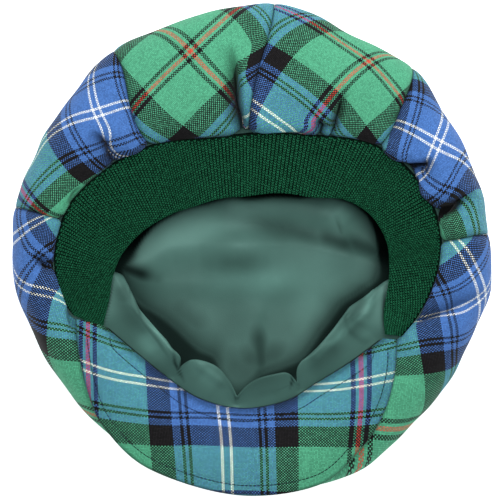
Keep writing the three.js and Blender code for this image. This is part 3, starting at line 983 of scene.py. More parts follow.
def fold_relief(plan, share):
    """How far the creases draw the cloth in, how they shift it in plan, and the painted shade in them."""
    relief = np.zeros(plan.shape[:-1])
    shade = np.zeros_like(relief)
    shift = np.zeros_like(plan)
    seat = 1.0 - FOLD_SEAT_LOSS * smooth(*FOLD_SEAT, share)
    for path, width, depth, lap, tuck, gap in FOLDS:
        far, lean, passed, left = beside_path(plan, path)
        side = np.copysign(far, lean) * (lap or 1)
        over = side > 0
        fade = (1.0 - smooth(*FOLD_FADE, passed)) * (share >= 0.0)
        steep, slack, shade_reach = 1.0, 1.0, OPEN_SHADE_REACH
        if lap:
            steep, slack, shade_reach = LAP_STEEP, LAP_SLACK, LAP_SHADE_REACH
        near = np.where(over, steep, slack) * width
        crease = 0.5 * bell(side / near) + 0.5 * np.exp(-FOLD_SHARPNESS * np.abs(side) / near)
        relief -= depth * fade * seat * crease
        # Painted shade in the crease, strongest at its bottom.
        reach = np.where(over, shade_reach * width, width + tuck)
        gather = FOLD_SHADE * min(1.0, depth / FULL_FOLD) * fade**FOLD_SHADE_HOLD
        shade = np.maximum(shade, gather * bell(side / reach))
        # Painted shadow in the gap under a lap.
        if gap:
            open_to = gap * lerp(GAP_END_SHARE, 1.0, fade)
            under = 1.0 - smooth(GAP_EDGE_FROM * open_to, GAP_EDGE_TO * open_to, -side)
            hidden = np.where(over, bell(side / (GAP_LAP_REACH * width)), under)
            shade = np.maximum(shade, GAP_FOLD_SHADE * smooth(*GAP_FADE, fade) * hidden)
        if lap:
            swell = bell((side - LAP_SWELL_AT * width) / (LAP_SWELL_WIDTH * width))
            relief += LAP_SWELL * depth * fade * seat * swell
            slip = bell((side - LAP_SLIP_AT * width) / (LAP_SLIP_WIDTH * width))
            shift -= (lap * tuck * fade * slip)[..., None] * left
    return relief, shift, shade


def hidden_cloth(name, plan):
    """How much further on a panel's cloth is past a crease, for the length that the crease hides."""
    if name not in HIDDEN_CLOTH:
        return np.zeros_like(plan)
    path, side, length = HIDDEN_CLOTH[name]
    far, lean, passed, left = beside_path(plan, path)
    past = smooth(*HIDDEN_EDGE, np.copysign(far, lean) * side)
    kept = length * past * (1.0 - smooth(*HIDDEN_FADE, passed))
    return side * kept[..., None] * left


def ripple(x, y):
    """Height of the slow waves of the puffed cloth."""
    rise = np.zeros_like(x)
    for length, deg, phase, height in zip(*RIPPLES.values()):
        run = x * math.cos(math.radians(deg)) + y * math.sin(math.radians(deg))
        rise += height * np.sin(2.0 * math.pi * run / length + phase)
    return rise


def crown_row(place):
    """Row of the crown's table with the swells of its outline."""
    row = ring_row(CROWN, place)
    for deg, half, rise in zip(*RIM_SWELLS.values()):
        turn = row["rim_deg"] - deg
        row["rim_r"] = row["rim_r"] + rise * bell((turn - 360.0 * np.round(turn / 360.0)) / half)
    return row


def seam_bow(place, share):
    """Turn of the seam that bows over its neighbour, at shares of the way in from the rim."""
    at, half, turn, power = SEAM_BOW
    inwards = np.clip(share, 0.0, 1.0)
    widest = 1.0 / (1.0 + power)
    run = inwards * (1.0 - inwards) ** power / (widest * (1.0 - widest) ** power)
    return turn * bell(around(place - at) / half) * run


def crown_points(place, t, sink=0.0, folded=1.0):
    """Points of the crown's outer face, or of its inner face when sunk by the wall, and their painted
    shade.
    """
    place, t = np.broadcast_arrays(place, t)
    row = crown_row(place)
    r, z, nr, nz = crown_section(row, t)
    after, before = (ring_row(CROWN, place + step)["rim_deg"] for step in (TURN_STEP, -TURN_STEP))
    turn = np.radians((after - before) / (2.0 * TURN_STEP))
    share = np.where(t < T_RIM, -1.0, (row["rim_r"] - r) / (row["rim_r"] - row["band_r"]))
    deg = lerp(row["rim_deg"], row["band_deg"], smooth(0.0, 1.0, share)) - seam_bow(place, share)
    plan = polar(r, deg, z)[..., :2]
    pinch, seam_shade = seam_pinch(place, r, share, turn * r)
    crease, shift, fold_shade = fold_relief(plan, share)
    uneven = ripple(plan[..., 0], plan[..., 1]) * between(t, RIPPLE_RISE, RIPPLE_END)
    relief = folded * crease + uneven - pinch - sink
    hang = np.zeros_like(r)
    for at, half, reach in zip(*PUFFS.values()):
        hang += reach * bell(around(place - at) / half)
    flattened = np.clip(1.0 + crease / PUFF_CREASE, 0.0, 1.0)
    inward = hang * between(share, PUFF_RISE, PUFF_END) * flattened
    points = polar(r + relief * nr - inward, deg, z + relief * nz + PUFF_LIFT * inward)
    points[..., :2] += folded * shift
    return points, np.maximum(seam_shade, fold_shade)


def flat_cloth(points, top, middle_deg):
    """The panel laid flat: run along the panel's middle line and spread to each side, in mm."""
    climbs = np.linalg.norm(np.diff(points, axis=1), axis=2)
    climb = np.concatenate([np.zeros((len(points), 1)), np.cumsum(climbs, axis=1)], axis=1)
    angle = math.radians(middle_deg)
    line = points[:, top, 0] * math.cos(angle) + points[:, top, 1] * math.sin(angle)
    run = line[:, None] + climb[:, top : top + 1] - climb
    widths = np.linalg.norm(np.diff(points, axis=0), axis=2)
    spread = np.concatenate([np.zeros((1, points.shape[1])), np.cumsum(widths, axis=0)])
    return run, spread - spread[len(points) // 2]


def fit_basis(flat):
    """Powers of a place on the flat cloth, up to cubes."""
    x, y = flat[..., 0] / FIT_SPAN_MM, flat[..., 1] / FIT_SPAN_MM
    squares = [x * x, x * y, y * y]
    cubes = [x**3, x * x * y, x * y * y, y**3]
    return np.stack([np.ones_like(x), x, y, *squares, *cubes], axis=-1)


def nearness(places, spots):
    """How near every place on the flat cloth is to each spot on it, 1 at the spot."""
    return bell(np.linalg.norm(places[..., None, :] - spots, axis=-1) / EASE_SPAN_MM)


def fit_threads(name, seen, flat):
    """Map from the flat cloth to warp and weft threads: a smooth one, eased to the piece's marks."""
    systems = []
    bend = np.diag([0.0] * 3 + [FIT_STIFFNESS] * 3 + [CUBE_STIFFNESS] * 4)
    for marks in TARTAN_MARKS[name]:
        spots, threads = [], []
        for thread, pixels in marks.items():
            for pixel in pixels:
                gap = np.linalg.norm(seen - plan_of(*pixel), axis=-1)
                spots.append(flat[np.unravel_index(np.argmin(gap), gap.shape)])
                threads.append(thread)
        spots, threads = np.array(spots), np.array(threads)
        rows = np.concatenate([fit_basis(spots), bend])
        wanted = np.concatenate([threads, np.zeros(len(bend))])
        weights = np.linalg.lstsq(rows, wanted, rcond=None)[0]
        missed = threads - fit_basis(spots) @ weights
        give = EASE_GIVE * np.eye(len(spots))
        pull = np.linalg.solve(nearness(spots, spots) + give, missed)
        systems.append((weights, spots, pull))
    return systems


def threads_at(systems, flat):
    """Warp and weft thread counts at places on the flat cloth."""
    basis = fit_basis(flat)
    return np.stack(
        [basis @ weights + nearness(flat, spots) @ pull for weights, spots, pull in systems], axis=-1
    )


def panel_threads(name, points, slack, t, middle_deg):
    """Warp and weft thread counts over a crown panel, from its cloth with the creases let out."""
    top = int(np.argmin(np.abs(t - T_TOP)))
    rim = int(np.argmin(np.abs(t - T_RIM)))
    run, spread = flat_cloth(slack, top, middle_deg)
    angle = math.radians(middle_deg)
    ahead = np.array([math.cos(angle), math.sin(angle)])
    aside = np.array([-math.sin(angle), math.cos(angle)])
    furthest = run[:, rim].mean() + TURN_UNDER
    kept = np.minimum(run, furthest)
    flat = kept[..., None] * ahead + spread[..., None] * aside
    flat[:, rim:] += hidden_cloth(name, points[:, rim:, :2])
    systems = fit_threads(name, points[:, rim:, :2], flat[:, rim:])
    edge = furthest * ahead
    slope = threads_at(systems, edge + 0.5 * ahead) - threads_at(systems, edge - 0.5 * ahead)
    slope /= np.linalg.norm(slope) * THREAD_MM
    return threads_at(systems, flat) + (run - kept)[..., None] * slope


def crown_panel(name, first, last, material):
    """One panel between its two seams, with the tartan laid over it."""
    marks = np.array([first, 0.5 * (first + last), last])
    start_deg, middle_deg, end_deg = ring_row(CROWN, marks)["rim_deg"]
    place = np.linspace(first, last, PANEL_STRIPS * (last - first) + 1)[:, None]
    gap = np.zeros_like(place)
    gap[0], gap[-1] = 0.5 * SEAM_GAP, -0.5 * SEAM_GAP
    turn = np.degrees(gap / ring_row(CROWN, place)["rim_r"])
    place = place + turn * (last - first) / (end_deg - start_deg)
    t = graded((0.0, T_FLOOR, T_RIM, T_TOP, 1.0), PANEL_ROW_COUNTS)
    outer, shade = crown_points(place, t)
    inner, _ = crown_points(place, t, WALL)
    slack, _ = crown_points(place, t, folded=CREASE_SLACK)
    threads = panel_threads(name, outer, slack, t, float(middle_deg))
    points = np.stack([outer, inner]).reshape(-1, 3)
    faces = shell_faces(*outer.shape[:2])
    threads = np.stack([threads, threads])
    piece = make_piece(name + "_cloth", points, faces, material, threads)
    shade_layer(piece, np.stack([shade, shade]))
    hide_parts(name)
    return piece


def crown_edge(deg):
    """Row of the crown's table where its inner edge lies at an angle."""
    start = CROWN["band_deg"][0]
    turn = start + np.mod(deg - start, 360.0)
    place = place_of_angle(lambda at: ring_row(CROWN, at)["band_deg"], turn, SECTIONS)
    return ring_row(CROWN, place)


def band_ends(place):
    """Outer and inner edge of the knitted band at places along it."""
    row = open_row(BAND, place)
    edge = crown_edge(row["out_deg"])
    out = polar(edge["band_r"] - BAND_CLEAR, row["out_deg"], edge["band_z"] + BAND_SEAT)
    tip = polar(row["in_r"], row["in_deg"], row["in_z"])
    return out, tip


def band_face(place, along):
    """Points on the band's upper face; along is in mm from its outer edge, and rolls over the tip."""
    out, tip = band_ends(place)
    across = tip - out
    length = np.linalg.norm(across, axis=-1, keepdims=True)
    ahead = across / length
    half = 0.5 * BAND_WALL
    straight = np.minimum(along, length - half)
    roll = np.clip((along - straight) / half, 0.0, math.pi)
    reach = straight + half * np.sin(roll)
    up = half * np.cos(roll) + BAND_CROWN * np.sin(math.pi * np.clip(straight / length, 0.0, 1.0))
    return out + ahead * reach + np.array([0.0, 0.0, 1.0]) * up


def knit_body(name, material):
    """Body of the folded knit band, under its stitches."""
    out, tip = band_ends(np.linspace(0.0, BAND_LAST, BAND_STATIONS + 1))
    length = np.linalg.norm(tip - out, axis=-1)
    ahead = (tip - out) / length[:, None]
    half = 0.5 * BAND_WALL
    rows = []
    for share, bulge, side in rolled_profile(*BAND_PROFILE):
        straight = share * (length - half)
        up = side * half + BAND_CROWN * np.sin(math.pi * straight / length)
        rows.append(out + ahead * (straight + bulge * half)[:, None] + np.outer(up, (0, 0, 1)))
    points = np.stack(rows, axis=1)
    faces = tube_faces(*points.shape[:2])
    piece = make_piece(name + "_body", points.reshape(-1, 3), faces, material)
    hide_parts(name)
    return piece


def grown_piece(name, seed, tree, inputs):
    """Plain mesh piece that geometry nodes grow on a seed mesh; inputs are set by their identifiers."""
    grower = bpy.data.objects.new(name + "_seed", seed)
    bpy.context.scene.collection.objects.link(grower)
    modifier = grower.modifiers.new("stitches", "NODES")
    modifier.node_group = tree
    for item in tree.interface.items_tree:
        if item.item_type == "SOCKET" and item.in_out == "INPUT" and item.name in inputs:
            modifier[item.identifier] = inputs[item.name]
    graph = bpy.context.evaluated_depsgraph_get()
    mesh = bpy.data.meshes.new_from_object(grower.evaluated_get(graph))
    mesh.name = name
    grower.modifiers.clear()
    bpy.data.objects.remove(grower)
    return add_piece(name, mesh)


class NodeTree:
    """Short way to add and link the nodes of a tree."""

    def __init__(self, tree):
        self.tree = tree
        self.spot = 0

    def add(self, kind, inputs=None, **settings):
        node = self.tree.nodes.new(kind)
        self.spot += 1
        down, across = divmod(self.spot, NODES_IN_ROW)
        node.location = (NODE_STEPS[0] * across, NODE_STEPS[1] * down)
        for name, value in settings.items():
            setattr(node, name, value)
        for key, value in (inputs or {}).items():
            socket = node.inputs[key]
            if isinstance(value, bpy.types.NodeSocket):
                self.tree.links.new(value, socket)
            else:
                socket.default_value = value
        return node

    def math(self, operation, a, b=0.0, c=0.0):
        node = self.add("ShaderNodeMath", {0: a, 1: b, 2: c}, operation=operation)
        return node.outputs[0]

    def scaled(self, colour, factor):
        node = self.add("ShaderNodeVectorMath", {0: colour, "Scale": factor}, operation="SCALE")
        return node.outputs[0]

    def mix(self, factor, a, b, kind="FLOAT"):
        first, out = (2, 0) if kind == "FLOAT" else (6, 2)
        node = self.add("ShaderNodeMix", {0: factor, first: a, first + 1: b}, data_type=kind)
        return node.outputs[out]


def float_socket(tree, name, default, subtype="NONE"):
    """Gives a node tree an input for a number."""
    socket = tree.interface.new_socket(name, in_out="INPUT", socket_type="NodeSocketFloat")
    socket.default_value = default
    socket.subtype = subtype


def lay_stitches(nodes, material, points, stitch, turn, **scale):
    """Ends a tree with a stitch on every point, as smooth plain mesh of one material."""
    laid = nodes.add(
        "GeometryNodeInstanceOnPoints",
        {"Points": points, "Instance": stitch, "Rotation": turn.outputs[0], **scale},
    )
    real = nodes.add("GeometryNodeRealizeInstances", {"Geometry": laid.outputs[0]})
    soft = nodes.add("GeometryNodeSetShadeSmooth", {"Geometry": real.outputs[0]})
    finish = nodes.add("GeometryNodeSetMaterial", {"Geometry": soft.outputs[0], "Material": material})
    nodes.add("NodeGroupOutput", {0: finish.outputs[0]})


def stitch_tree(material):
    """Knit stitches: two leaning arms of yarn on every point, laid along the rib."""
    tree = bpy.data.node_groups.new("knit_stitches", "GeometryNodeTree")
    tree.interface.new_socket("Geometry", in_out="INPUT", socket_type="NodeSocketGeometry")
    float_socket(tree, "Arm length", 1.9 * MM, "DISTANCE")
    float_socket(tree, "Yarn thickness", 0.6 * MM, "DISTANCE")
    float_socket(tree, "Arm spread", 0.27 * MM, "DISTANCE")
    float_socket(tree, "Arm lean", 0.35, "ANGLE")
    float_socket(tree, "Unevenness", 0.22)
    tree.interface.new_socket("Geometry", in_out="OUTPUT", socket_type="NodeSocketGeometry")
    nodes = NodeTree(tree)
    given = nodes.add("NodeGroupInput").outputs
    ball = nodes.add("GeometryNodeMeshUVSphere", {"Segments": 4, "Rings": 3, "Radius": 0.5})
    yarn = nodes.add(
        "GeometryNodeTransform", {"Geometry": ball.outputs[0], "Rotation": (0.5 * math.pi, 0.0, 0.0)}
    ).outputs[0]
    size = nodes.add(
        "ShaderNodeCombineXYZ",
        {0: given["Yarn thickness"], 1: given["Arm length"], 2: given["Yarn thickness"]},
    ).outputs[0]
    arms = []
    for side in (-1.0, 1.0):
        lean = nodes.math("MULTIPLY", given["Arm lean"], side)
        aside = nodes.math("MULTIPLY", given["Arm spread"], side)
        turn = nodes.add("ShaderNodeCombineXYZ", {2: lean}).outputs[0]
        shift = nodes.add("ShaderNodeCombineXYZ", {0: aside}).outputs[0]
        arm = nodes.add(
            "GeometryNodeTransform",
            {"Geometry": yarn, "Translation": shift, "Scale": size},
        )
        nodes.tree.links.new(
            nodes.add("FunctionNodeEulerToRotation", {0: turn}).outputs[0], arm.inputs["Rotation"]
        )
        arms.append(arm.outputs[0])
    join = nodes.add("GeometryNodeJoinGeometry")
    for arm in arms:
        tree.links.new(arm, join.inputs[0])
    axes = {}
    for name in ("face_normal", "rib_run"):
        read = nodes.add("GeometryNodeInputNamedAttribute", {"Name": name}, data_type="FLOAT_VECTOR")
        axes[name] = read.outputs["Attribute"]
    turn = nodes.add(
        "FunctionNodeAxesToRotation",
        {0: axes["face_normal"], 1: axes["rib_run"]},
        primary_axis="Z",
        secondary_axis="Y",
    )
    width = nodes.add("GeometryNodeInputNamedAttribute", {"Name": "rib_width"}, data_type="FLOAT")
    chance = nodes.add("FunctionNodeRandomValue", {"Seed": STITCH_SEED}, data_type="FLOAT")
    chance.inputs[2].default_value, chance.inputs[3].default_value = -1.0, 1.0
    uneven = nodes.math("MULTIPLY_ADD", chance.outputs[1], given["Unevenness"], 1.0)
    across = nodes.math("MULTIPLY", width.outputs["Attribute"], uneven)
    stretch = nodes.add("ShaderNodeCombineXYZ", {0: across, 1: 1.0, 2: uneven})
    scale = stretch.outputs[0]
    lay_stitches(nodes, material, given["Geometry"], join.outputs[0], turn, Scale=scale)
    return tree


def knit_stitches(name, ribs, pitch, material):
    """Ribs of knit stitches over the band's upper face and its rolled inner edge."""
    place = np.linspace(RIB_END_INSET, BAND_LAST - RIB_END_INSET, ribs)
    out, tip = band_ends(place)
    length = np.linalg.norm(tip - out, axis=-1)
    spots, normals, runs, widths = [], [], [], []
    half_rib = 0.5 * (place[1] - place[0])
    for i in range(ribs):
        end = length[i] + RIB_ROLL * BAND_WALL
        along = np.arange(RIB_FIRST_STITCH + pitch * 0.5 * (i % 2), end, pitch)[:, None]
        here = np.full(len(along), place[i])
        run = band_face(here, along + STITCH_NUDGE) - band_face(here, along - STITCH_NUDGE)
        aside = band_face(here + half_rib, along) - band_face(here - half_rib, along)
        normal = np.cross(aside, run)
        normal *= np.sign(normal[0, 2])
        spots.append(band_face(here, along))
        normals.append(normal)
        runs.append(run)
        widths.append(np.linalg.norm(aside, axis=1) / RIB_PITCH)
    seed = bpy.data.meshes.new(name)
    seed.from_pydata((np.concatenate(spots) * MM).tolist(), [], [])
    layer = seed.attributes.new("rib_width", "FLOAT", "POINT")
    layer.data.foreach_set("value", np.concatenate(widths).astype(np.float32))
    for attribute, values in (("face_normal", normals), ("rib_run", runs)):
        data = np.concatenate(values)
        data /= np.linalg.norm(data, axis=1, keepdims=True)
        layer = seed.attributes.new(attribute, "FLOAT_VECTOR", "POINT")
        layer.data.foreach_set("vector", data.reshape(-1).astype(np.float32))
    inputs = {"Arm length": STITCH_OVERLAP * pitch * MM}
    return grown_piece(name, seed, stitch_tree(material), inputs)


def peak_rise(x, v):
    """Height of the peak's upper face, v from the inner seam to the outer edge."""
    arch = PEAK_ARCH * (np.abs(x) / PEAK_HALF_WIDTH) ** PEAK_ARCH_POWER
    return PEAK_SEAM_Z + arch + PEAK_TIP_RISE * v


def peak_top(place, v):
    """Point on the peak's upper face, v from the inner seam to the outer edge."""
    row = open_row(PEAK, place)
    x = lerp(row["seam_x"], row["edge_x"], v)
    y = lerp(row["seam_y"], row["edge_y"], v)
    return np.stack(np.broadcast_arrays(x, y, peak_rise(x, v)), axis=-1)


def peak_depth(place):
    """Depth of the peak from seam to edge, in mm."""
    row = open_row(PEAK, place)
    return np.hypot(row["edge_x"] - row["seam_x"], row["edge_y"] - row["seam_y"])


def peak_stitch_rows(inset):
    """Places along the peak, and its two rows of topstitching: their share of the way from seam to edge
    at each place, and the places where they start and end."""
    place = np.linspace(0.0, PEAK_LAST, PEAK_STATIONS + 1)
    depth = peak_depth(place)
    outer = np.clip(1.0 - inset / depth, OUTER_STITCH_LEAST_SHARE, 1.0)
    inner = INNER_STITCH_INSET / depth * between(place, *INNER_STITCH_BEND)
    return place, [(outer, *OUTER_STITCH_SPAN), (inner, *INNER_STITCH_SPAN)]


def peak_piece(name, inset, material):
    """The peak's tartan cover with a dimple along its rows of topstitching, and painted shade on it."""
    place, stitch_rows = peak_stitch_rows(inset)
    depth = peak_depth(place)
    row = open_row(PEAK, place)
    start = np.stack([row["seam_x"], row["seam_y"]], axis=-1)
    ahead = (np.stack([row["edge_x"], row["edge_y"]], axis=-1) - start) / depth[:, None]
    half = 0.5 * PEAK_WALL
    rows, flats, shades = [], [], []
    for share, bulge, side in rolled_profile(*PEAK_PROFILE):
        run = share * (depth - half)
        at = start + ahead * (run + bulge * half)[:, None]
        v = run / depth
        z = peak_rise(at[:, 0], v) - half + side * half
        if side == 1.0:
            for line, low, high in stitch_rows:
                on = between(place, (low, low + DIMPLE_END), (high - DIMPLE_END, high))
                z -= DIMPLE_DEPTH * on * bell((v - line) * depth / DIMPLE_WIDTH)
        rows.append(np.column_stack([at, z]))
        # Painted shade: on the rolled edge, beside the inner seam, and growing towards the outer edge.
        at_edge = PEAK_EDGE_SHADE * abs(bulge) * (share == 1.0)
        at_seam = PEAK_SEAM_SHADE * bell(run / PEAK_SEAM_SHADE_WIDTH)
        at_tip = PEAK_TIP_SHADE * smooth(*PEAK_TIP_SHADE_FROM, v)
        shades.append(np.maximum(at_tip + at_edge, at_seam))
        over = half * math.acos(min(1.0, side)) if share == 1.0 and side > 0 else bulge * half
        flats.append(start + ahead * (run + over)[:, None])
    points = np.stack(rows, axis=1)
    flat = np.stack(flats, axis=1)
    top = slice(PEAK_PROFILE[0])
    threads = threads_at(fit_threads(name, points[:, top, :2], flat[:, top]), flat)
    faces = tube_faces(*points.shape[:2])
    piece = make_piece(name + "_cloth", points.reshape(-1, 3), faces, material, threads)
    shade_layer(piece, np.stack(shades, axis=1))
    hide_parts(name)
    return piece


def topstitch_tree(material):
    """Short stitches of thread along every line, a set length apart."""
    tree = bpy.data.node_groups.new("peak_topstitch", "GeometryNodeTree")
    tree.interface.new_socket("Geometry", in_out="INPUT", socket_type="NodeSocketGeometry")
    float_socket(tree, "Stitch pitch", 2.4 * MM, "DISTANCE")
    float_socket(tree, "Thread thickness", 0.62 * MM, "DISTANCE")
    float_socket(tree, "Stitch share", 1.04)
    tree.interface.new_socket("Geometry", in_out="OUTPUT", socket_type="NodeSocketGeometry")
    nodes = NodeTree(tree)
    given = nodes.add("NodeGroupInput").outputs
    curve = nodes.add("GeometryNodeMeshToCurve", {0: given["Geometry"]})
    spaced = nodes.add(
        "GeometryNodeResampleCurve",
        {"Curve": curve.outputs[0], "Length": given["Stitch pitch"]},
        mode="LENGTH",
    )
    length = nodes.math("MULTIPLY", given["Stitch pitch"], given["Stitch share"])
    size = nodes.add(
        "ShaderNodeCombineXYZ",
        {0: given["Thread thickness"], 1: length, 2: given["Thread thickness"]},
    ).outputs[0]
    thread = nodes.add("GeometryNodeMeshUVSphere", {"Segments": 6, "Rings": 5, "Radius": 0.5})
    stitch = nodes.add("GeometryNodeTransform", {"Geometry": thread.outputs[0], "Scale": size})
    run = nodes.add("GeometryNodeInputTangent").outputs[0]
    up = nodes.add("FunctionNodeInputVector")
    up.vector = (0.0, 0.0, 1.0)
    turn = nodes.add(
        "FunctionNodeAxesToRotation",
        {0: run, 1: up.outputs[0]},
        primary_axis="Y",
        secondary_axis="Z",
    )
    lay_stitches(nodes, material, spaced.outputs[0], stitch.outputs[0], turn)
    return tree


def peak_topstitch(name, inset, pitch, material):
    """Two rows of thread stitches along the peak."""
    place, stitch_rows = peak_stitch_rows(inset)
    points, edges = [], []
    for line, low, high in stitch_rows:
        on = (place > low) & (place < high)
        at = peak_top(place[on], line[on])
        at[:, 2] -= STITCH_SINK
        first = sum(len(part) for part in points)
        edges += [(first + i, first + i + 1) for i in range(len(at) - 1)]
        points.append(at)
    seed = bpy.data.meshes.new(name)
    seed.from_pydata((np.concatenate(points) * MM).tolist(), edges, [])
    return grown_piece(name, seed, topstitch_tree(material), {"Stitch pitch": pitch})


def peak_seam_r(deg):
    """Radius of the peak's inner seam at an angle."""

    def angle_at(place):
        row = open_row(PEAK, place)
        return np.mod(np.degrees(np.arctan2(row["seam_y"], row["seam_x"])), 360.0)

    row = open_row(PEAK, place_of_angle(angle_at, deg, PEAK_LAST))
    return np.hypot(row["seam_x"], row["seam_y"])


def ridge_rise(plan, ridges):
    """Height of soft ridges that slope off to the left and right of their run."""
    rise = np.zeros(plan.shape[:-1])
    for path, height, to_left, to_right in ridges:
        far, lean, _, _ = beside_path(plan, path)
        rise += height * bell(far / lerp(to_right, to_left, 0.5 + 0.5 * lean))
    return rise


def lining_front(deg):
    """1 where the lining makes its front flap, 0 where it goes under the knitted band."""
    return between(deg, *FLAP_DEG)


def lining_under_band(edge, floor):
    """Corner points of the lining's section where it goes under the band: seam, wall, floor."""
    crown_r, crown_z, rim = edge["band_r"], edge["band_z"], edge["rim_r"]
    foot_in, foot_z = LINING_FOOT
    reach = rim - foot_in - crown_r
    corners = [(crown_r + out, crown_z - down) for out, down in (LINING_SEAM, *LINING_UNDER_BAND)]
    corners += [(crown_r + share * reach, crown_z - down) for share, down in LINING_SLOPE]
    corners += [(rim - foot_in, foot_z + 0.0 * rim), (rim - LINING_FLOOR_INSET, floor)]
    return corners + [(0.0 * rim, floor)]


def lining_flap(deg, edge, floor):
    """Corner points of the lining's section in the front flap: seam, lip, tuck, floor."""
    on_peak = between(deg, *FLAP_SEAM_DEG)
    seam_out, seam_down = LINING_SEAM
    gap_r, gap_z = FLAP_SEAM_GAP
    seam_r = lerp(edge["band_r"] + seam_out, peak_seam_r(deg) - gap_r, on_peak)
    seam_z = lerp(edge["band_z"] - seam_down, PEAK_SEAM_Z - 0.5 * PEAK_WALL - gap_z, on_peak)
    lift = LIP_RISE * between(deg, *FLAP_RISE_DEG)
    lip_r = look_up(LIP, "deg", "r", deg)
    drop = np.zeros_like(deg)
    for at, width, depth, fall in zip(*PLEATS.values()):
        near = np.exp(-np.abs(deg - at) / width)
        lip_r = lip_r + depth * near
        drop = drop + fall * near
    rim = edge["rim_r"]
    corners = [
        (lerp(seam_r, lip_r, way), seam_z + risen * lift - dropped * drop)
        for way, risen, dropped in FLAP_RUN
    ]
    corners += [(lip_r + LIP_ROLL[0], seam_z + lift - LIP_ROLL[1] - drop)]
    corners += [(seam_r - LIP_TUCK[0], seam_z - LIP_TUCK[1])]
    corners += [(rim - FLAP_FOOT[0], FLAP_FOOT[1] + 0.0 * rim), (rim - FLAP_FLOOR_INSET, floor)]
    return corners + [(0.0 * rim, floor)]


def lining_corners(deg):
    """Radius and height of the corner points of the lining's section at an angle."""
    edge = crown_edge(deg)
    floor = np.full_like(deg, LINING_FLOOR)
    pairs = list(zip(lining_under_band(edge, floor), lining_flap(deg, edge, floor)))
    front = lining_front(deg)
    return [np.stack([lerp(under[i], flap[i], front) for under, flap in pairs]) for i in (0, 1)]


def lining_points(deg, place):
    """Points of the lining's middle layer; place counts the section's corner points."""
    corner_r, corner_z = lining_corners(np.mod(deg, 360.0))
    last = len(corner_r) - 1
    first = np.clip(np.floor(place).astype(int), 0, last - 1)
    near = [np.clip(first + step, 0, last) for step in (-1, 0, 1, 2)]
    share = (place - first)[:, None]
    r = spline(*[corner_r[i] for i in near], share)
    z = np.maximum(spline(*[corner_z[i] for i in near], share), LINING_FLOOR)
    points = polar(r, deg[None, :], z)
    plan = points[..., :2]
    rise = ridge_rise(plan, FLOOR_RIDGES) * smooth(*RIDGE_ROWS, place)[:, None]
    rise += ridge_rise(plan, FLAP_CREASES) * between(place, *CREASE_ROWS)[:, None]
    points[..., 2] += rise
    return points.transpose(1, 0, 2)


def stroke(plan, path, width, end_share):
    """A soft stroke along a path of pixels, weaker at its two ends, for painted shade and highlights."""
    far, _, passed, _ = beside_path(plan, path)
    return lerp(end_share, 1.0, between(passed, *STROKE_ENDS)) * bell(far / width)


def lining_shade(points, place):
    """Painted shade on the lining, under the hollow's edge and in its creases, less its painted gleams."""
    plan = points[..., :2]
    deg = np.mod(np.degrees(np.arctan2(plan[..., 1], plan[..., 0])), 360.0)
    edge_r, gap, reach = (look_up(HOLLOW, "deg", name, deg) for name in ("edge_r", "gap", "reach"))
    inside = edge_r - np.linalg.norm(plan, axis=-1)
    front = lining_front(deg)
    near = smooth(*UNDER_EDGE, inside)
    edge = [lerp(band, flap, front) for band, flap in zip(GAP_EDGE, FLAP_GAP_EDGE)]
    in_gap = 1.0 - smooth(*edge, inside - gap)
    dark = lerp(WALL_SHADE, lerp(GAP_SHADE, FLAP_GAP_SHADE, front), near) * in_gap
    soft = lerp(WALL_SHADE, HOLLOW_SHADE, near) * np.exp(-np.maximum(inside - gap, 0.0) / reach)
    shade = lerp(WALL_SHADE * (1.0 - front), np.maximum(soft, dark), smooth(*WALL_ROWS, place))
    # Painted shade along the lining's creases, flaps and the band's shadow, then painted highlights.
    for path, width, depth in SHADE_STROKES:
        shade = np.maximum(shade, depth * stroke(plan, path, width, SHADE_STROKE_END_SHARE))
    for path, width, gain in GLEAMS:
        shade = shade - gain * stroke(plan, path, width, GLEAM_END_SHARE) * (1.0 - shade)
    return shade


def lining_piece(name, material):
    """The satin bag with its front flap, closed in the middle of its floor."""
    deg = np.arange(LINING_STATIONS) * 360.0 / LINING_STATIONS
    place = graded(LINING_ROW_MARKS, LINING_ROW_COUNTS)
    middle = lining_points(deg, place)
    across = lining_points(deg + LINING_DEG_STEP, place) - lining_points(deg - LINING_DEG_STEP, place)
    ahead = np.minimum(math.ceil(LINING_ROW_MARKS[-1]), place + LINING_ROW_STEP)
    behind = np.maximum(0.0, place - LINING_ROW_STEP)
    along = lining_points(deg, ahead) - lining_points(deg, behind)
    normal = np.cross(across, along)
    normal /= np.linalg.norm(normal, axis=-1, keepdims=True)
    layers = [middle + side * LINING_WALL * normal for side in (0.5, -0.5)]
    lines, count = middle.shape[:2]
    outer = np.arange(lines * count).reshape(lines, count)
    inner = outer + lines * count
    hub = np.full(lines, 2 * lines * count)
    ring, under = outer[:, -1], inner[:, -1]
    after, under_after = np.roll(ring, -1), np.roll(under, -1)
    faces = [
        grid_faces(outer, closed=True),
        grid_faces(inner, closed=True)[:, ::-1],
        grid_faces(np.stack([inner[:, 0], outer[:, 0]], axis=-1), closed=True),
        np.stack([ring, after, hub, ring], axis=-1),
        np.stack([under_after, under, hub + 1, under_after], axis=-1),
    ]
    hubs = [layer[:, -1].mean(axis=0) for layer in layers]
    points = np.concatenate([np.stack(layers).reshape(-1, 3), np.array(hubs)])
    piece = make_piece(name + "_cloth", points, np.concatenate(faces), material)
    # Painted shade and highlights of the lining, the same on both its faces.
    shade = lining_shade(middle, place[None, :]).reshape(-1)
    shade_layer(piece, np.concatenate([shade, shade, [0.0, 0.0]]))
    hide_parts(name)
    return piece


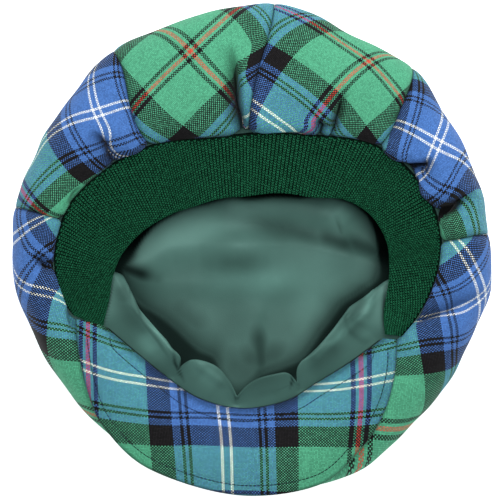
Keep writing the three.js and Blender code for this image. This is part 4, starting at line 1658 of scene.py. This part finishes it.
def weave_group(colours):
    """Tartan cloth: the sett across warp and weft, mixed by a plain weave, and the yarns' height.

    Every yarn has one colour, and the yarns that it passes over show in the grooves round it, darkened
    by painted shade, except round black yarns, whose grooves are painted dark."""
    tree = bpy.data.node_groups.new("tartan_weave", "ShaderNodeTree")
    tree.interface.new_socket("Threads", in_out="INPUT", socket_type="NodeSocketVector")
    float_socket(tree, "Groove shade", 0.62)
    float_socket(tree, "Groove width", 0.85)
    float_socket(tree, "Dark spread", -0.05)
    float_socket(tree, "Yarn variation", 0.62)
    tree.interface.new_socket("Colour", in_out="OUTPUT", socket_type="NodeSocketColor")
    tree.interface.new_socket("Height", in_out="OUTPUT", socket_type="NodeSocketFloat")
    nodes = NodeTree(tree)
    given = nodes.add("NodeGroupInput").outputs
    split = nodes.add("ShaderNodeSeparateXYZ", {0: given["Threads"]}).outputs
    shades, numbers, rounds = [], [], []
    for axis in (0, 1):
        number = nodes.math("FLOOR", split[axis])
        middle = nodes.math("ADD", number, 0.5)
        along = nodes.math("PINGPONG", middle, HALF_SETT)
        share = nodes.math("DIVIDE", along, HALF_SETT)
        ramp = nodes.add("ShaderNodeValToRGB", {0: share})
        ramp.color_ramp.interpolation = "CONSTANT"
        stops = ramp.color_ramp.elements
        while len(stops) < len(SETT):
            stops.new(1.0)
        start = 0
        for stop, (colour, count) in zip(stops, SETT):
            stop.position = start / HALF_SETT
            stop.color = (*colours[colour], 1.0)
            start += count
        shades.append(ramp.outputs[0])
        numbers.append(number)
        part = nodes.math("FRACT", split[axis])
        rounds.append(nodes.math("SINE", nodes.math("MULTIPLY", part, math.pi)))
    step = nodes.math("FLOORED_MODULO", nodes.math("ADD", numbers[0], numbers[1]), 2.0)
    warp_up = nodes.math("LESS_THAN", step, 0.5)
    crests = []
    for here, other in ((0, 1), (1, 0)):
        bend = nodes.math("MULTIPLY_ADD", rounds[other], YARN_SINK, 1.0 - YARN_SINK)
        crests.append(nodes.math("MULTIPLY", rounds[here], bend))
    height = nodes.mix(warp_up, crests[1], crests[0])
    cell = nodes.add("ShaderNodeCombineXYZ", {0: numbers[0], 1: numbers[1]}).outputs[0]
    speck = nodes.add("ShaderNodeTexWhiteNoise", {"Vector": cell}, noise_dimensions="2D")
    uneven = nodes.math("SUBTRACT", speck.outputs["Value"], 0.5)
    uneven = nodes.math("MULTIPLY_ADD", uneven, given["Yarn variation"], 1.0)
    upper = nodes.mix(warp_up, shades[1], shades[0], "RGBA")
    lower = nodes.mix(warp_up, shades[0], shades[1], "RGBA")
    dark = [
        nodes.math("LESS_THAN", nodes.add("ShaderNodeRGBToBW", {0: shade}).outputs[0], DARK_YARN)
        for shade in (upper, lower)
    ]
    closed = nodes.math("MULTIPLY", dark[1], given["Dark spread"])
    crest = nodes.add(
        "ShaderNodeMapRange",
        {
            "Value": height,
            "From Min": nodes.math("ADD", closed, GROOVE_FROM),
            "From Max": nodes.math("ADD", closed, given["Groove width"]),
        },
        interpolation_type="SMOOTHSTEP",
    ).outputs[0]
    hidden = nodes.math("SUBTRACT", 1.0, dark[0])
    groove = nodes.scaled(lower, nodes.math("MULTIPLY", hidden, given["Groove shade"]))
    tint = nodes.mix(crest, groove, nodes.scaled(upper, uneven), "RGBA")
    nodes.add("NodeGroupOutput", {"Colour": tint, "Height": height})
    return tree


def new_material(name, finish):
    """Material, its nodes and its shader with the values that a finish gives it."""
    material = bpy.data.materials.new(name)
    material.use_nodes = True
    tree = material.node_tree
    tree.nodes.clear()
    nodes = NodeTree(tree)
    shader = nodes.add("ShaderNodeBsdfPrincipled", finish)
    nodes.add("ShaderNodeOutputMaterial", {"Surface": shader.outputs[0]})
    return material, nodes, shader


def link_surface(nodes, shader, colour, height, depth):
    """Gives a material's shader its colour and the fine bumps of its surface."""
    bump = nodes.add("ShaderNodeBump", {"Height": height, "Distance": depth, "Strength": BUMP_STRENGTH})
    nodes.tree.links.new(colour, shader.inputs["Base Color"])
    nodes.tree.links.new(bump.outputs[0], shader.inputs["Normal"])


def wandering(nodes, noise, colour, spread, ends):
    """A colour that a noise makes darker and lighter by a share, between two ends of the noise."""
    ramp = nodes.add("ShaderNodeValToRGB", {0: noise})
    for stop, end, gain in zip(ramp.color_ramp.elements, ends, (1.0 - spread, 1.0 + spread)):
        stop.position = end
        stop.color = (*[part * gain for part in colour], 1.0)
    return ramp.outputs[0]


def tartan_material(colours):
    """Matt wool cloth, darker in its folds and seams by painted shade."""
    finish = {
        "Roughness": 0.9,
        "Specular IOR Level": 0.1,
        "Sheen Weight": 0.04,
        "Sheen Roughness": 0.5,
    }
    material, nodes, shader = new_material("tartan_cloth", finish)
    threads = nodes.add("ShaderNodeUVMap", uv_map="cloth")
    weave = nodes.add("ShaderNodeGroup", node_tree=weave_group(colours))
    nodes.tree.links.new(threads.outputs[0], weave.inputs["Threads"])
    deep = nodes.add("ShaderNodeAttribute", attribute_name=SHADE_LAYER).outputs["Fac"]
    colour = nodes.scaled(weave.outputs["Colour"], nodes.math("SUBTRACT", 1.0, deep))
    link_surface(nodes, shader, colour, weave.outputs["Height"], 0.12 * MM)
    return material


def yarn_material(name, colour, spread):
    """Fuzzy wool yarn whose shade wanders a little."""
    material, nodes, shader = new_material(name, {"Roughness": 1.0, "Specular IOR Level": 0.03})
    place = nodes.add("ShaderNodeTexCoord").outputs["Object"]
    fuzz = nodes.add("ShaderNodeTexNoise", {"Vector": place, "Scale": 900.0, "Detail": 3.0}).outputs["Fac"]
    tint = wandering(nodes, fuzz, colour, spread, YARN_NOISE_ENDS)
    link_surface(nodes, shader, tint, fuzz, 0.3 * MM)
    return material


def satin_material(colour):
    """Soft satin, darker and less glossy under its painted shade, lighter under its painted highlights."""
    finish = {"Roughness": 0.5, "Specular Tint": (0.62, 1.0, 0.92, 1.0)}
    material, nodes, shader = new_material("satin_lining", finish)
    place = nodes.add("ShaderNodeTexCoord").outputs["Object"]
    slow = nodes.add("ShaderNodeTexNoise", {"Vector": place, "Scale": 38.0, "Detail": 3.0})
    fine = nodes.add("ShaderNodeTexNoise", {"Vector": place, "Scale": 1600.0, "Detail": 2.0})
    deep = nodes.add("ShaderNodeAttribute", attribute_name=SHADE_LAYER).outputs["Fac"]
    lit = nodes.math("SUBTRACT", 1.0, deep)
    tint = wandering(nodes, slow.outputs["Fac"], colour, SATIN_SPREAD, SATIN_NOISE_ENDS)
    tint = nodes.scaled(tint, lit)
    link_surface(nodes, shader, tint, fine.outputs["Fac"], 0.12 * MM)
    gloss = nodes.math("MULTIPLY", lit, SATIN_GLOSS)
    nodes.tree.links.new(gloss, shader.inputs["Specular IOR Level"])
    return material


def floor_material(colour):
    """Matt floor that glows a little, so that it stays pale under the cap."""
    finish = {
        "Base Color": (*colour, 1.0),
        "Roughness": 0.9,
        "Specular IOR Level": 0.0,
        "Emission Color": (1.0, 1.0, 1.0, 1.0),
        "Emission Strength": 0.8,
    }
    return new_material("pale_floor", finish)[0]


def colour_property(name, description, default):
    """Property for a colour."""
    return FloatVectorProperty(
        name=name, description=description, default=default, subtype="COLOR", min=0.0, max=1.0, size=3
    )


class CapColours(PropertyGroup):
    """Colours of the cap's cloth, knit and lining."""

    blue: colour_property("Blue", "Blue of the tartan", (0.062, 0.158, 0.43))
    green: colour_property("Green", "Green of the tartan", (0.08, 0.35, 0.2))
    black: colour_property("Black", "Black of the tartan", (0.012, 0.0108, 0.0118))
    white: colour_property("White", "White line of the tartan", (0.85, 0.87, 0.85))
    red: colour_property("Red", "Red line of the tartan", (0.52, 0.072, 0.042))
    knit: colour_property("Knit", "Yarn of the knitted band", (0.0105, 0.09, 0.042))
    satin: colour_property("Satin", "Lining", (0.059, 0.131, 0.111))
    thread: colour_property("Thread", "Topstitching on the peak", (0.01, 0.014, 0.02))
    floor: colour_property("Floor", "Floor under the cap", (0.93, 0.93, 0.93))


class CapSizes(PropertyGroup):
    """Sizes of the cap's sewn and knitted detail."""

    stitch_inset: FloatProperty(
        name="Topstitch inset",
        description="From the peak's edge to its topstitching",
        default=6.0 * MM,
        unit="LENGTH",
    )
    stitch_pitch: FloatProperty(
        name="Topstitch pitch",
        description="Length of one topstitch with its gap",
        default=2.4 * MM,
        unit="LENGTH",
    )
    ribs: IntProperty(name="Ribs", description="Knitted ribs along the band", default=225, min=40)
    knit_pitch: FloatProperty(
        name="Knit pitch",
        description="Length of one knit stitch along its rib",
        default=1.5 * MM,
        unit="LENGTH",
    )


class CapBuild:
    """Shared by the cap's operators."""

    bl_options = {"REGISTER", "UNDO"}


class CAP_OT_crown(CapBuild, Operator):
    """Make the crown's seven tartan panels"""

    bl_idname = "cap.crown"
    bl_label = "Crown Panels"

    def execute(self, context):
        material = cap_material("tartan_cloth")
        for name, first, last, cut, area in PANELS:
            panel = crown_panel(name, first, last, material)
        return {"FINISHED"}


class CAP_OT_peak(CapBuild, Operator):
    """Make the tartan peak with its topstitching"""

    bl_idname = "cap.peak"
    bl_label = "Peak"

    def execute(self, context):
        sizes = context.scene.cap_sizes
        inset = sizes.stitch_inset / MM
        peak_piece("peak", inset, cap_material("tartan_cloth"))
        peak_topstitch("peak_topstitch", inset, sizes.stitch_pitch, cap_material("sewing_thread"))
        return {"FINISHED"}


class CAP_OT_knit_band(CapBuild, Operator):
    """Make the ribbed knit band"""

    bl_idname = "cap.knit_band"
    bl_label = "Knit Band"

    def execute(self, context):
        sizes = context.scene.cap_sizes
        # The band's body takes the knit's colour darkened, as painted shade between its ribs.
        body = knit_body("knit_band", cap_material("knit_ground"))
        yarn = cap_material("rib_knit")
        stitches = knit_stitches("knit_stitches", sizes.ribs, sizes.knit_pitch / MM, yarn)
        return {"FINISHED"}


class CAP_OT_lining(CapBuild, Operator):
    """Make the satin lining"""

    bl_idname = "cap.lining"
    bl_label = "Lining"

    def execute(self, context):
        lining = lining_piece("lining", cap_material("satin_lining"))
        return {"FINISHED"}


class CAP_OT_stage(CapBuild, Operator):
    """Make the floor, the soft light and the camera over the cap"""

    bl_idname = "cap.stage"
    bl_label = "Stage"

    def execute(self, context):
        scene = context.scene
        mesh = bpy.data.meshes.new("floor")
        corners = [(-1, -1), (1, -1), (1, 1), (-1, 1)]
        points = [(x * FLOOR_HALF, y * FLOOR_HALF, FLOOR_Z) for x, y in corners]
        mesh.from_pydata(points, [], [(0, 1, 2, 3)])
        mesh.materials.append(floor_material(scene.cap_colours.floor))
        floor = bpy.data.objects.new("floor", mesh)
        scene.collection.objects.link(floor)

        world = bpy.data.worlds.new("soft_room")
        world.use_nodes = True
        glow = world.node_tree.nodes["Background"].inputs
        glow["Color"].default_value = ROOM_COLOUR
        glow["Strength"].default_value = ROOM_STRENGTH
        scene.world = world

        for name, place, size, watts in SOFTBOXES:
            lamp = bpy.data.lights.new(name, "AREA")
            lamp.shape = "SQUARE"
            lamp.size = size
            lamp.energy = watts
            light = bpy.data.objects.new(name, lamp)
            light.location = place
            direction = -light.location
            light.rotation_euler = direction.to_track_quat("-Z", "Y").to_euler()
            light.visible_camera = False
            scene.collection.objects.link(light)

        camera = bpy.data.objects.new("camera", bpy.data.cameras.new("camera"))
        middle = plan_of(*PHOTO_MIDDLE_PX) * MM
        camera.location = (middle[0], middle[1], CAMERA_HEIGHT + CAMERA_FOCUS_Z)
        camera.data.sensor_width = CAMERA_SENSOR
        camera.data.lens = CAMERA_SENSOR * CAMERA_HEIGHT / (PHOTO_WIDTH_PX * MM_PER_PX * MM)
        camera.data.clip_end = CAMERA_REACH
        scene.collection.objects.link(camera)
        scene.camera = camera
        scene.view_settings.view_transform = "Standard"
        return {"FINISHED"}


class CAP_PT_panel(Panel):
    """Lists the cap's pieces, sizes and colours"""

    bl_idname = "CAP_PT_panel"
    bl_label = "Tartan Cap"
    bl_space_type = "VIEW_3D"
    bl_region_type = "UI"
    bl_category = "Tartan Cap"

    def draw(self, context):
        layout = self.layout
        for group in (context.scene.cap_sizes, context.scene.cap_colours):
            column = layout.column()
            for name in group.bl_rna.properties.keys():
                if name not in ("rna_type", "name"):
                    column.prop(group, name)
        for operator in OPERATORS:
            layout.operator(operator.bl_idname)


OPERATORS = (CAP_OT_crown, CAP_OT_peak, CAP_OT_knit_band, CAP_OT_lining, CAP_OT_stage)
CLASSES = (CapColours, CapSizes, *OPERATORS, CAP_PT_panel)


def cap_material(name):
    """Material of one of the cap's finishes, made the first time it is asked for."""
    found = bpy.data.materials.get(name)
    if found:
        return found
    colours = bpy.context.scene.cap_colours
    if name == "tartan_cloth":
        return tartan_material({key: getattr(colours, key) for key, _ in SETT})
    if name == "satin_lining":
        return satin_material(colours.satin)
    colour, share, spread = YARNS[name]
    return yarn_material(name, [share * part for part in getattr(colours, colour)], spread)


def register():
    for cls in CLASSES:
        bpy.utils.register_class(cls)
    bpy.types.Scene.cap_colours = PointerProperty(type=CapColours)
    bpy.types.Scene.cap_sizes = PointerProperty(type=CapSizes)


def unregister():
    del bpy.types.Scene.cap_sizes
    del bpy.types.Scene.cap_colours
    for cls in reversed(CLASSES):
        bpy.utils.unregister_class(cls)


def main():
    register()
    for name in ("crown", "peak", "knit_band", "lining", "stage"):
        getattr(bpy.ops.cap, name)()


if __name__ == "__main__":
    main()
